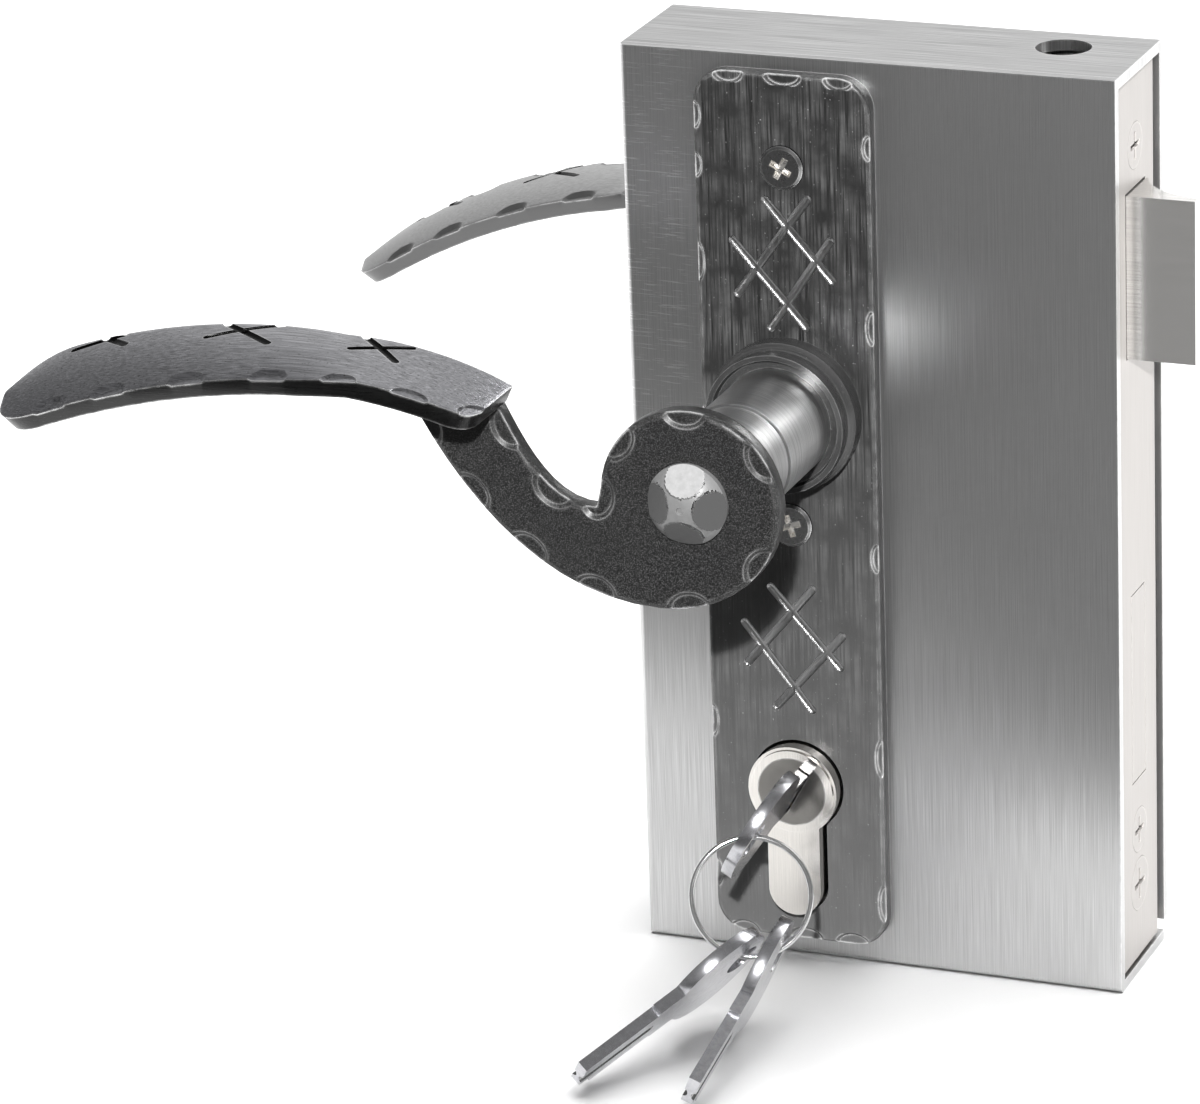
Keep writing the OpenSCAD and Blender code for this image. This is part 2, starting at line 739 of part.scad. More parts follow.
// A key with its ring hole at the origin, its blade along +X and its faces square to Z
module key_shape() {
    end_notch = 3;
    translate([0, 0, -key_t/2]) linear_extrude(key_t) difference() {
        union() {
            translate([hole_to_centre, 0]) circle(bow_r);
            translate([hole_to_centre, -key_blade_h/2 - 0.8])
                square([bow_r + key_shoulder, key_blade_h + 1.6]);
            translate([hole_to_shoulder - cut, -key_blade_h/2])
                square([key_blade_l + cut, key_blade_h]);
        }
        circle(d=key_hole_d);
        translate([hole_to_tip - end_notch, key_blade_h/2 - 2]) square([end_notch + cut, 2 + cut]);
    }
}

module key() {
    color("lightgray") in_frame(ring_hole, [0, 1, 0], [cos(key_angle), 0, -sin(key_angle)])
        key_shape();
}

module key_ring() {
    color("silver") in_frame(ring_centre, ring_side, cross(ring_side, ring_down))
        rotate_extrude() translate([ring_r - ring_wire/2, -ring_width/2])
            square([ring_wire, ring_width]);
}

module spare_key(at, heading, dip, roll) {
    hole = ring_centre + ring_r*(sin(at)*ring_side + cos(at)*ring_down);
    along = [-sin(heading)*cos(dip), -cos(heading)*cos(dip), -sin(dip)];
    level = [cos(heading), -sin(heading), 0];
    face = cos(roll)*level + sin(roll)*cross(level, along);
    in_frame(hole, along, face) key_shape();
}

module left_spare_key() {
    color("lightgray")
        spare_key(left_spare_at, left_spare_heading, left_spare_dip, left_spare_roll);
}

module right_spare_key() {
    color("lightgray")
        spare_key(right_spare_at, right_spare_heading, right_spare_dip, right_spare_roll);
}

// Backplates, with two stamped lattices
module stamped_lattice(z) {
    groove_w = 1.4;
    groove_d = 0.6;
    reach = 9.5;
    for (slope = [-1, 1], offset = [-1, 1])
        translate([spindle_x + slope*offset*3.2, plate_front_y, z + offset*4.2])
            rotate([0, slope*42, 0]) block(-groove_w/2, -cut, -reach, groove_w/2, groove_d, reach);
}

module backplate(screw_r) {
    difference() {
        y_slab(plate_front_y, front_y)
            rounded_rect(spindle_x - plate_w/2, plate_z0, spindle_x + plate_w/2, plate_z1, plate_r);
        wall_holes(plate_front_y - cut, front_y + cut, screw_r);
        for (z = [upper_screw_z - 18, lower_screw_z - 23.5]) stamped_lattice(z);
        at_plate_screws() y_cone(plate_screw_head/2 + seam, screw_r, plate_front_y, plate_front_y + sink_depth);
    }
}

module front_backplate() {
    color("dimgray") backplate(plate_screw_d/2 + seam);
}

module rear_backplate() {
    color("dimgray") rear_side() backplate(sleeve_r + seam);
}

// A sunk head with a low dome and a cross recess, its shank running inwards
module sunk_head(shank_r) {
    y_cone(plate_screw_head/2, shank_r, plate_front_y, plate_front_y + sink_depth);
    y_cone(plate_screw_head/2 - 1.2, plate_screw_head/2, plate_front_y - screw_dome, plate_front_y);
}

module backplate_screws() {
    color("silver") at_plate_screws() difference() {
        union() {
            sunk_head(plate_screw_d/2);
            y_rod(plate_screw_d/2, plate_front_y + sink_depth, screw_end_y);
        }
        translate([0, plate_front_y - screw_dome, 0]) cross_recess(1.8, 0.6*plate_screw_head, 1.1);
    }
}

module sleeve_nuts() {
    color("silver") at_plate_screws() difference() {
        rear_side() union() {
            sunk_head(sleeve_r);
            y_rod(sleeve_r, plate_front_y + sink_depth, -sleeve_y0);
        }
        y_rod(plate_screw_d/2 + seam, sleeve_y0 - cut, screw_end_y + cut);
    }
}

// Handles: collar, neck, scroll, leaf and rivet, drawn for the front
module collar() {
    bore = neck_r + run_fit;
    depth = -plate_front_y;
    at_spindle() y_turned([
        [bore, depth], [collar_d/2, depth], [collar_d/2, depth + 0.45*collar_h],
        [collar_rim_d/2, depth + 0.6*collar_h], [collar_rim_d/2, depth + collar_h],
        [collar_rim_d/2 - 1, depth + collar_h], [collar_rim_d/2 - 1.4, depth + collar_h - 1.2],
        [bore, depth + collar_h - 1.2]
    ]);
}

module front_collar() {
    color("black") collar();
}

module rear_collar() {
    color("black") rear_side() collar();
}

module neck() {
    step_y = neck_y1 - neck_step;
    groove = 0.5;
    at_spindle() difference() {
        union() {
            y_rod(neck_r, step_y, neck_y1);
            y_rod(neck_r - neck_slim - groove, step_y - groove, step_y);
            y_rod(neck_r - neck_slim, neck_y0, step_y - groove);
        }
        square_bar(spindle_side + 2*spindle_fit, spindle_end_y - seam, neck_y1 + cut);
        y_rod(rivet_r + seam, neck_y0 - cut, neck_y0 + rivet_depth + seam);
        translate([0, grub_y, -neck_r - cut]) cylinder(d=grub_d + 2*seam, h=neck_r + cut);
    }
}

module front_neck() {
    color("gray") neck();
}

module rear_neck() {
    color("gray") rear_side() neck();
}

module scroll() {
    seat = [for (i = [0:6]) bezier(leaf, seat_from + (seat_to - seat_from)*i/6) - [0, grip_t + seam]];
    heel = seat[0];
    toe = seat[6];
    notch = [-eye_r - 0.8, -2.6];
    foot = [-6, -scroll_drop];
    outer = bezier_run([toe, toe + [9, -19], [-30, -scroll_drop], foot], 14);
    under = bezier_run([foot, [6.5, -scroll_drop], [eye_r, -0.7*eye_r], [eye_r, 0]], 10);
    eye = arc_run(eye_r, 0, 176, 24);
    inner = bezier_run([notch, notch + [-8.6, -0.4], heel + [4, -8], heel], 10);
    at_spindle() difference() {
        y_slab(scroll_y0, scroll_y1) polygon(concat(outer, under, eye, inner, seat));
        y_rod(rivet_r + seam, scroll_y0 - cut, scroll_y1 + cut);
    }
}

module front_scroll() {
    color("darkslategray") scroll();
}

module rear_lever_side() {
    rear_side() translate([spindle_x, 0, spindle_z]) rotate([0, -rear_droop, 0])
        translate([-spindle_x, 0, -spindle_z]) children();
}

module rear_scroll() {
    color("darkslategray") rear_lever_side() scroll();
}

// The leaf: level sections along the arch, twisted and swept outwards towards the tip
module grip(twist, sweep) {
    function place(i) = let (u = i/leaf_sections) u < 0.5 ? u : 1 - 0.5*pow(2*(1 - u), 1.5);
    function width_at(t) = bezier(leaf_half, t);
    function tip_share(t) = t < leaf_tip ? 1 : sqrt(1 - 0.96*pow((t - leaf_tip)/(1 - leaf_tip), 2.4));
    function heel_cut(t) = t > leaf_heel ? 0 :
        leaf_heel_r*(1 - sqrt(1 - pow(1 - t/leaf_heel, 2)));
    function leaf_section(t) =
        let (c = bezier(leaf, t), h = width_at(t), share = tip_share(t),
             a = twist*clamp01((t - twist_from)/(0.9 - twist_from)),
             mid = scroll_y1 - h - sweep*t*t,
             out = -h*share + heel_cut(t), in = h*share,
             lift = [cos(a), sin(a)], thick = grip_t*[sin(a), -cos(a)],
             corners = [out*lift, in*lift, in*lift + thick, out*lift + thick])
        [for (k = corners) [c.x, mid + k.x, c.y + k.y]];
    points = [for (i = [0:leaf_sections]) each leaf_section(place(i))];
    walls = [for (i = [0:leaf_sections - 1], j = [0:3], half = [0, 1])
        let (a = 4*i + j, b = 4*i + (j + 1)%4)
        half == 0 ? [a, b, a + 4] : [b, b + 4, a + 4]];
    last = 4*leaf_sections;
    ends = [[0, 2, 1], [0, 3, 2], [last, last + 1, last + 2], [last, last + 2, last + 3]];
    at_spindle() polyhedron(points, concat(walls, ends));
}

module front_grip() {
    color("darkslategray") grip(front_twist, 0);
}

module rear_grip() {
    color("darkslategray") rear_lever_side() grip(-rear_twist, rear_sweep);
}

// A rivet with a hammered head
module rivet() {
    head_r = rivet_head_d/2;
    depth = -scroll_y0;
    at_spindle() y_turned([
        [0, depth - scroll_t - rivet_depth], [rivet_r, depth - scroll_t - rivet_depth],
        [rivet_r, depth], [head_r, depth], [head_r, depth + 0.25*rivet_head_h],
        [0.78*head_r, depth + 0.78*rivet_head_h], [0.42*head_r, depth + rivet_head_h],
        [0, depth + rivet_head_h]
    ]);
}

module front_rivet() {
    color("gray") rivet();
}

module rear_rivet() {
    color("gray") rear_side() rivet();
}

module grub_screws() {
    socket = 2.5;
    color("black") for (side = [0, 1]) mirror([0, side, 0]) at_spindle()
        translate([0, grub_y, 0]) difference() {
            translate([0, 0, -neck_r + 0.6]) cylinder(d=grub_d, h=neck_r - 0.6 - spindle_side/2 - seam);
            translate([0, 0, -neck_r]) cylinder(d=socket, h=2.6, $fn=6);
        }
}

box_front_shell();
box_back_shell();
faceplate();
faceplate_screws();
retaining_screw();
lock_case();
case_cover();
case_pillars();
case_screws();
latch_bolt();
latch_spring();
follower();
spindle();
dead_bolt();
bolt_leaf_spring();
cylinder_body();
front_plug();
rear_plug();
cylinder_cam();
key_pins();
driver_pins();
front_backplate();
rear_backplate();
backplate_screws();
sleeve_nuts();
front_collar();
rear_collar();
front_neck();
rear_neck();
front_scroll();
rear_scroll();
front_grip();
rear_grip();
front_rivet();
rear_rivet();
grub_screws();
key();
key_ring();
left_spare_key();
right_spare_key();
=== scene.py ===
# %% [markdown]
# # A steel gate lock box, dressed in Blender
# The lock box was designed first as separate solid pieces that really move. This lesson loads those
# pieces as a fixed frame, and then gives each visible one the surface that the real object has: ground
# sheet steel, hammered black iron, bright nickel keys. The frame is never moved. Where a piece needs
# more detail than its solid has, a new mesh is modelled in the same place and stands for it.

# %% Load the frame
import math

import bpy
from mathutils import Matrix, Vector


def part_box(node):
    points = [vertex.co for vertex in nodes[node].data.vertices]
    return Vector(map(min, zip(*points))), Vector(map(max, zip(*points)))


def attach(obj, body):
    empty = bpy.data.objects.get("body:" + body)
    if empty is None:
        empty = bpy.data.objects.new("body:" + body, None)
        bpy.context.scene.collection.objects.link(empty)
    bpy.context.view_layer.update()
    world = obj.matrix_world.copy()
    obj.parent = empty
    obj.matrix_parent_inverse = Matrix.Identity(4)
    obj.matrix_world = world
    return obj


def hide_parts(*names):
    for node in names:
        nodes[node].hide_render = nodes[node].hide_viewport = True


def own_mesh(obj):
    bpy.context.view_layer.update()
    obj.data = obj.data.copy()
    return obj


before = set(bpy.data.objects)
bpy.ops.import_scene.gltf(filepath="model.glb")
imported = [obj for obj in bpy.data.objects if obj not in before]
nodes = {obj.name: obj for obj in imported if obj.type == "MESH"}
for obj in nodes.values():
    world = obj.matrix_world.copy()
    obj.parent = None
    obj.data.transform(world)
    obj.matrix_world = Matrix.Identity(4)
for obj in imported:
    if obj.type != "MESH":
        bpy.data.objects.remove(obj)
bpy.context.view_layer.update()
MM = 0.001
print("pieces in the frame:", len(nodes))

# %% [markdown]
# ## The camera
# A photograph of the object gave the viewing angle. The camera stands a little over a metre away, looks
# down by twenty degrees and has a long lens, so upright edges hardly converge. The same numbers are used
# twice: once to place Blender's camera, and once in two small helpers that turn a picture position into
# a point on the object, so that marks can be put where the eye sees them.

# %% Camera and picture helpers
PICTURE_W = 1200
PICTURE_H = 1104
LENS_PX = 6449.6
EYE = Vector((369.9, -1035.1, 484.5))
TURN = math.radians(22.5)
LOOK_DOWN = math.radians(20.32)
TILT = math.radians(-2.155)
SENSOR_W = 36
CLIP_START = 0.05
NEAR_CORNER = (-46, -14, 172)

back = Vector((math.sin(TURN) * math.cos(LOOK_DOWN), -math.cos(TURN) * math.cos(LOOK_DOWN),
               math.sin(LOOK_DOWN)))
level = Vector((math.cos(TURN), math.sin(TURN), 0))
rise = level.cross(-back)
right = math.cos(TILT) * level + math.sin(TILT) * rise
up = -math.sin(TILT) * level + math.cos(TILT) * rise


def see(point):
    """The picture position of a point given in millimetres."""
    ray = Vector(point) - EYE
    depth = -ray.dot(back)
    return (PICTURE_W / 2 + LENS_PX * ray.dot(right) / depth, PICTURE_H / 2 - LENS_PX * ray.dot(up) / depth)


def touch(pixel, axis, value):
    """The point, in millimetres, where the sight line through a picture position meets a plane."""
    ray = -back + (pixel[0] - PICTURE_W / 2) / LENS_PX * right - (pixel[1] - PICTURE_H / 2) / LENS_PX * up
    return EYE + (value - EYE[axis]) / ray[axis] * ray


lens = bpy.data.cameras.new("camera")
lens.sensor_width = SENSOR_W
lens.lens = SENSOR_W * LENS_PX / PICTURE_W
lens.clip_start = CLIP_START
camera = bpy.data.objects.new("camera", lens)
bpy.context.scene.collection.objects.link(camera)
camera.matrix_world = Matrix.Translation(EYE * MM) @ Matrix((right, up, back)).transposed().to_4x4()
bpy.context.scene.camera = camera
print("lens", round(lens.lens, 1), "mm; near top corner seen at", [round(v) for v in see(NEAR_CORNER)])

# %% [markdown]
# ## Helpers for modelling by hand
# Blender's operators act on whatever is selected, so each helper first clears the selection. One picks
# faces, edges or corners by a test on their place, one applies modifiers, one cuts shapes out of a
# piece, and one puts a piece's place into its mesh. Copies of a solid are cleaned of its triangles, and
# copies of a finished front piece become its twin behind the box.

# %% Modelling helpers
def work_on(*pieces):
    if bpy.context.object and bpy.context.object.mode != "OBJECT":
        bpy.ops.object.mode_set(mode="OBJECT")
    bpy.ops.object.select_all(action="DESELECT")
    for piece in pieces:
        piece.select_set(True)
        bpy.context.view_layer.objects.active = piece


def pick(piece, kind, test):
    """Goes into edit mode with the corners (VERT), edges or faces that pass the test selected."""
    work_on(piece)
    bpy.ops.object.mode_set(mode="EDIT")
    bpy.ops.mesh.select_mode(type=kind)
    bpy.ops.mesh.select_all(action="DESELECT")
    bpy.ops.object.mode_set(mode="OBJECT")
    mesh = piece.data
    parts = {"VERT": mesh.vertices, "EDGE": mesh.edges, "FACE": mesh.polygons}[kind]
    for part in parts:
        part.select = test(part)
    bpy.ops.object.mode_set(mode="EDIT")


def edge_ends(piece, edge):
    return [piece.data.vertices[i].co for i in edge.vertices]


def done_editing():
    bpy.ops.object.mode_set(mode="OBJECT")


def settle(piece):
    work_on(piece)
    bpy.ops.object.transform_apply(location=True, rotation=True, scale=True)


def shaped(operator, **settings):
    """A new piece from one of Blender's primitives."""
    work_on()
    operator(**settings)
    settle(bpy.context.object)
    return bpy.context.object


def edit_all(piece, operator, **settings):
    """Runs one edit-mode operator on the whole of a piece."""
    pick(piece, "VERT", lambda corner: True)
    operator(**settings)
    done_editing()


def apply_modifiers(piece):
    work_on(piece)
    for modifier in list(piece.modifiers):
        bpy.ops.object.modifier_apply(modifier=modifier.name)


def joined(pieces):
    work_on(*pieces)
    if len(pieces) > 1:
        bpy.ops.object.join()
    return bpy.context.object


MARKS = ["plain", "dent", "groove", "stroke"]
mark_slots = [bpy.data.materials.new("mark_" + label) for label in MARKS]


def marked(tool, label):
    """Numbers all faces of a cutter after the mark that it leaves."""
    tool.data.materials.clear()
    for slot in mark_slots:
        tool.data.materials.append(slot)
    for face in tool.data.polygons:
        face.material_index = MARKS.index(label)
    return tool


def carve(piece, cutters, crossing=True):
    """Cuts all the cutters out of a piece at once, and notes on each face which mark it belongs to."""
    marked(piece, "plain")
    cutter = joined(cutters)
    cut = piece.modifiers.new("carve", "BOOLEAN")
    cut.object = cutter
    cut.solver = "EXACT"
    cut.use_self = crossing
    apply_modifiers(piece)
    bpy.data.objects.remove(cutter, do_unlink=True)
    for label in MARKS[1:]:
        note = piece.data.attributes.new(label, "FLOAT", "FACE")
        belongs = [float(MARKS[face.material_index] == label) for face in piece.data.polygons]
        note.data.foreach_set("value", belongs)


def outward(piece):
    edit_all(piece, bpy.ops.mesh.normals_make_consistent, inside=False)


def round_edges(piece, width, segments, degrees):
    """Adds a modifier that rounds the edges sharper than an angle."""
    rounding = piece.modifiers.new("rounding", "BEVEL")
    rounding.width = width
    rounding.segments = segments
    rounding.limit_method = "ANGLE"
    rounding.angle_limit = math.radians(degrees)


FLAT_AREA = 12 * MM * MM
WELD = 0.002 * MM
LOW_ANGLE = 30


def smooth(piece, degrees=LOW_ANGLE):
    """Shades smooth where faces meet at a low angle, and keeps the large flat faces flat."""
    work_on(piece)
    bpy.ops.object.shade_smooth_by_angle(angle=math.radians(degrees))
    edge_of = {edge.key: edge for edge in piece.data.edges}
    for face in piece.data.polygons:
        if face.area > FLAT_AREA:
            for key in face.edge_keys:
                edge_of[key].use_edge_sharp = True


def copy_of(source, name):
    piece = source.copy()
    piece.data = source.data.copy()
    piece.name = name
    piece.data.name = name
    piece.parent = None
    for label in list(piece.keys()):
        del piece[label]
    bpy.context.scene.collection.objects.link(piece)
    return piece


def clean_copy(node, name, degrees):
    """A copy of a solid whose triangles are merged into whole faces."""
    piece = copy_of(nodes[node], name)
    edit_all(piece, bpy.ops.mesh.remove_doubles, threshold=WELD)
    edit_all(piece, bpy.ops.mesh.dissolve_limited, angle_limit=math.radians(degrees))
    return piece


def twin_behind(source, name, degrees=LOW_ANGLE):
    """A copy of a front piece, mirrored to the back of the box."""
    piece = copy_of(source, name)
    piece.scale.y = -1
    settle(piece)
    outward(piece)
    smooth(piece, degrees)
    return piece


print("helpers ready")

# %% [markdown]
# ## Floor and light
# The object stands on a white sheet. Polished and ground metal shows mostly what it mirrors, so the
# surroundings matter more than the lamps: the upright front mirrors the floor before the box, which is
# grey beyond the sheet's edge, and this makes the front dark above and bright near the ground. The grey
# shows only in what the metal mirrors, so that every view has a plain white ground.
# A small hard lamp close to the camera draws the handle's shadow on the plate, and a wide one above
# whitens the sheet, which the other lamps leave alone.

# %% Floor, sky and lamps
bpy.context.scene.view_settings.view_transform = "Standard"
SHEET_FRONT = -0.108
SHEET_SLANT = 0.385
SHEET_FADE = 0.04
SHEET_RIGHT = 0.06
FLOOR_WHITE = 0.9
FLOOR_GREY = 0.07
FLOOR_SIZE = 8
SKY_AHEAD = 0.24
SKY_BEHIND = 1.13
SKY_TURN = 0.5
LAMP_PLACE = (0.34, -1.09, 0.70)
LAMP_AIM = (0, 0, 0.08)
SKY_LAMP_PLACE = (0.1, 0.45, 1.7)
SKY_LAMP_AIM = (0, 0.25, 0)


def feed(tree, node, inputs):
    """Fills a shader node's inputs, each with a value or with a socket to link."""
    for label, value in inputs.items():
        if isinstance(value, bpy.types.NodeSocket):
            tree.links.new(value, node.inputs[label])
        else:
            node.inputs[label].default_value = value


def add(tree, kind, inputs=None, **settings):
    """A new shader node with its settings and its inputs."""
    node = tree.nodes.new("ShaderNode" + kind)
    for label, value in settings.items():
        setattr(node, label, value)
    feed(tree, node, inputs or {})
    return node


def sums(tree, operation, *operands, **settings):
    """The result of a maths node whose operands are values or sockets."""
    return add(tree, "Math", dict(enumerate(operands)), operation=operation, **settings).outputs[0]


def ranged(tree, value, start, end, low=0.0, high=1.0, **settings):
    """A value whose span from start to end is laid onto the span from low to high."""
    spans = {"Value": value, "From Min": start, "From Max": end, "To Min": low, "To Max": high}
    return add(tree, "MapRange", spans, **settings).outputs["Result"]


def axes_of(tree, kind="Object"):
    """The X, Y and Z outputs of one kind of texture coordinate."""
    place = add(tree, "TexCoord").outputs[kind]
    return add(tree, "SeparateXYZ", {"Vector": place}).outputs


floor = shaped(bpy.ops.mesh.primitive_plane_add, size=FLOOR_SIZE)
floor.name = "floor"
sheet = bpy.data.materials.new("white_sheet")
sheet.use_nodes = True
tree = sheet.node_tree
axes = axes_of(tree)
slanted = sums(tree, "ADD", axes["Y"], sums(tree, "MULTIPLY", axes["X"], -SHEET_SLANT))
ahead = ranged(tree, slanted, SHEET_FRONT + SHEET_FADE / 2, SHEET_FRONT - SHEET_FADE / 2,
    interpolation_type="SMOOTHSTEP")
leftward = ranged(tree, axes["X"], SHEET_RIGHT + 2 * SHEET_FADE, SHEET_RIGHT, interpolation_type="SMOOTHSTEP")
mirrored = sums(tree, "SUBTRACT", 1.0, add(tree, "LightPath").outputs["Is Camera Ray"])
bare = sums(tree, "MULTIPLY", sums(tree, "MULTIPLY", ahead, leftward), mirrored)
shade = ranged(tree, bare, 0.0, 1.0, FLOOR_WHITE, FLOOR_GREY)
feed(tree, tree.nodes["Principled BSDF"], {"Base Color": shade, "Roughness": 0.9, "Specular IOR Level": 0.1})
floor.data.materials.append(sheet)

sky = bpy.data.worlds.new("studio")
bpy.context.scene.world = sky
sky.use_nodes = True
tree = sky.node_tree
glow = ranged(tree, axes_of(tree, "Generated")["Y"], SKY_TURN, 1.0, SKY_AHEAD, SKY_BEHIND,
    interpolation_type="SMOOTHSTEP")
feed(tree, tree.nodes["Background"], {"Strength": glow, "Color": (1.0, 1.0, 1.0, 1.0)})


def lamp(name, place, target, watts, size):
    light = bpy.data.lights.new(name, "AREA")
    light.energy = watts
    light.shape = "DISK"
    light.size = size
    holder = bpy.data.objects.new(name, light)
    bpy.context.scene.collection.objects.link(holder)
    holder.location = place
    holder.rotation_euler = (Vector(target) - Vector(place)).to_track_quat("-Z", "Y").to_euler()
    return holder


soft_lamp = lamp("key_lamp", LAMP_PLACE, LAMP_AIM, watts=27, size=0.1)
hard_lamp = lamp("shadow_lamp", LAMP_PLACE, LAMP_AIM, watts=80, size=0.03)
sky_lamp = lamp("sky_lamp", SKY_LAMP_PLACE, SKY_LAMP_AIM, watts=68, size=2.2)
for holder in (hard_lamp, sky_lamp):
    holder.visible_glossy = False
unlit = bpy.data.collections.new("not_lit_hard")
unlit.objects.link(floor)
unlit.collection_objects[0].light_linking.link_state = "EXCLUDE"
for holder in (soft_lamp, hard_lamp):
    holder.light_linking.receiver_collection = unlit
print("floor, sky and", len(bpy.data.lights), "lamps")

# %% [markdown]
# ## Shared effects for the finishes
# Five effects return on many of the metals, so each is built once as a node group: fine parallel grain
# from grinding, worn edges where the blackening has rubbed off, the salt-like speckle of rough iron,
# slow cloudy stains, and a mask of what lies outside a middle field. A group gives out a plain value
# between nought and one, and each finish mixes its own colours with it.

# %% Effect groups
def new_group(name, inputs):
    """A node group with one output, its mask, and the sockets inside it that it asks and gives with."""
    group = bpy.data.node_groups.new(name, "ShaderNodeTree")
    for label, value in inputs.items():
        kind = "NodeSocketVector" if isinstance(value, tuple) else "NodeSocketFloat"
        group.interface.new_socket(label, in_out="INPUT", socket_type=kind).default_value = value
    group.interface.new_socket("Mask", in_out="OUTPUT", socket_type="NodeSocketFloat")
    return group, group.nodes.new("NodeGroupInput").outputs, group.nodes.new("NodeGroupOutput").inputs["Mask"]


def place_in(group):
    return add(group, "TexCoord").outputs["Object"]


def vectors(tree, operation, *operands):
    return add(tree, "VectorMath", dict(enumerate(operands)), operation=operation)


def noise_group(name, detail, size, start, end):
    """A mask of soft spots: Size says how fine they are, Start and End where they begin and are full."""
    group, ask, give = new_group(name, {"Size": size, "Start": start, "End": end})
    noise = add(group, "TexNoise", {"Vector": place_in(group), "Scale": ask["Size"], "Detail": detail})
    group.links.new(ranged(group, noise.outputs["Fac"], ask["Start"], ask["End"]), give)
    return group


grain, ask, give = new_group("grain", {"Stretch": (6000, 6000, 60), "Contrast": 0.25})
drawn = vectors(grain, "MULTIPLY", place_in(grain), ask["Stretch"]).outputs["Vector"]
noise = add(grain, "TexNoise", {"Vector": drawn, "Scale": 1.0, "Detail": 3.0, "Roughness": 0.65})
low_end = sums(grain, "SUBTRACT", 0.5, ask["Contrast"])
high_end = sums(grain, "ADD", 0.5, ask["Contrast"])
grain.links.new(ranged(grain, noise.outputs["Fac"], low_end, high_end), give)

worn, ask, give = new_group("worn_edge", {"Width": 0.0006, "Broken": 700.0, "Gain": 6.0})
rounded = add(worn, "Bevel", {"Radius": ask["Width"]}, samples=6)
shape = add(worn, "NewGeometry")
lean = vectors(worn, "DOT_PRODUCT", rounded.outputs["Normal"], shape.outputs["Normal"])
bent = sums(worn, "SUBTRACT", 1.0, lean.outputs["Value"])
strong = sums(worn, "MULTIPLY", bent, ask["Gain"])
noise = add(worn, "TexNoise", {"Vector": place_in(worn), "Scale": ask["Broken"], "Detail": 2.0})
patchy = ranged(worn, noise.outputs["Fac"], 0.36, 0.62, low=0.25)
worn.links.new(sums(worn, "MULTIPLY", strong, patchy, use_clamp=True), give)

speckle = noise_group("speckle", detail=1.0, size=2600.0, start=0.56, end=0.7)
clouds = noise_group("clouds", detail=4.0, size=60.0, start=0.35, end=0.65)

outside, ask, give = new_group("outside", {"Centre": (0, 0, 0), "Reach": (1, 1, 1)})
away = vectors(outside, "SUBTRACT", place_in(outside), ask["Centre"])
away = vectors(outside, "DIVIDE", away.outputs["Vector"], ask["Reach"])
away = vectors(outside, "ABSOLUTE", away.outputs["Vector"])
away = add(outside, "SeparateXYZ", {"Vector": away.outputs["Vector"]})
most = sums(outside, "MAXIMUM", away.outputs["X"], away.outputs["Z"])
outside.links.new(sums(outside, "GREATER_THAN", most, 1.0), give)
print("effect groups:", [g.name for g in (grain, worn, speckle, clouds, outside)])

# %% [markdown]
# ## Finishes
# Each metal starts from one recipe: two tones mixed by grain, a cloudy change of tone, a painted
# reflection towards its foot, a lighter tone for the bright floor that the foot mirrors, speckle where
# the iron is rough, painted shade on its upright flanks, a bright colour on worn edges, which can be kept
# to an outer rim, and a tone for each kind of tool mark, where the metal can lie bare. The dark tones of
# the chisel strokes and of the rivet's blows are painted shade. The grain also feeds a faint bump,
# because grinding marks catch the light. What differs is the direction of the grain and the strength of
# each part, and these are the values below.

# %% The recipe for metal
def use(tree, group, **values):
    return add(tree, "Group", values, node_tree=group).outputs[0]


def blend(tree, mask, first, second):
    """Mixes two colours by a mask; either may be a colour or a socket."""
    first, second = [(*value, 1.0) if isinstance(value, tuple) else value for value in (first, second)]
    return add(tree, "Mix", {0: mask, 6: first, 7: second}, data_type="RGBA").outputs[2]


# blue is a painted reflection: a slight blue cast that stands in for bluish light that the keys and the front
# leaf mirror
def grey(value, painted_blue_reflection=0.0):
    return (value, value, value * (1 + painted_blue_reflection))


BUMP_DEPTH = 0.05 * MM


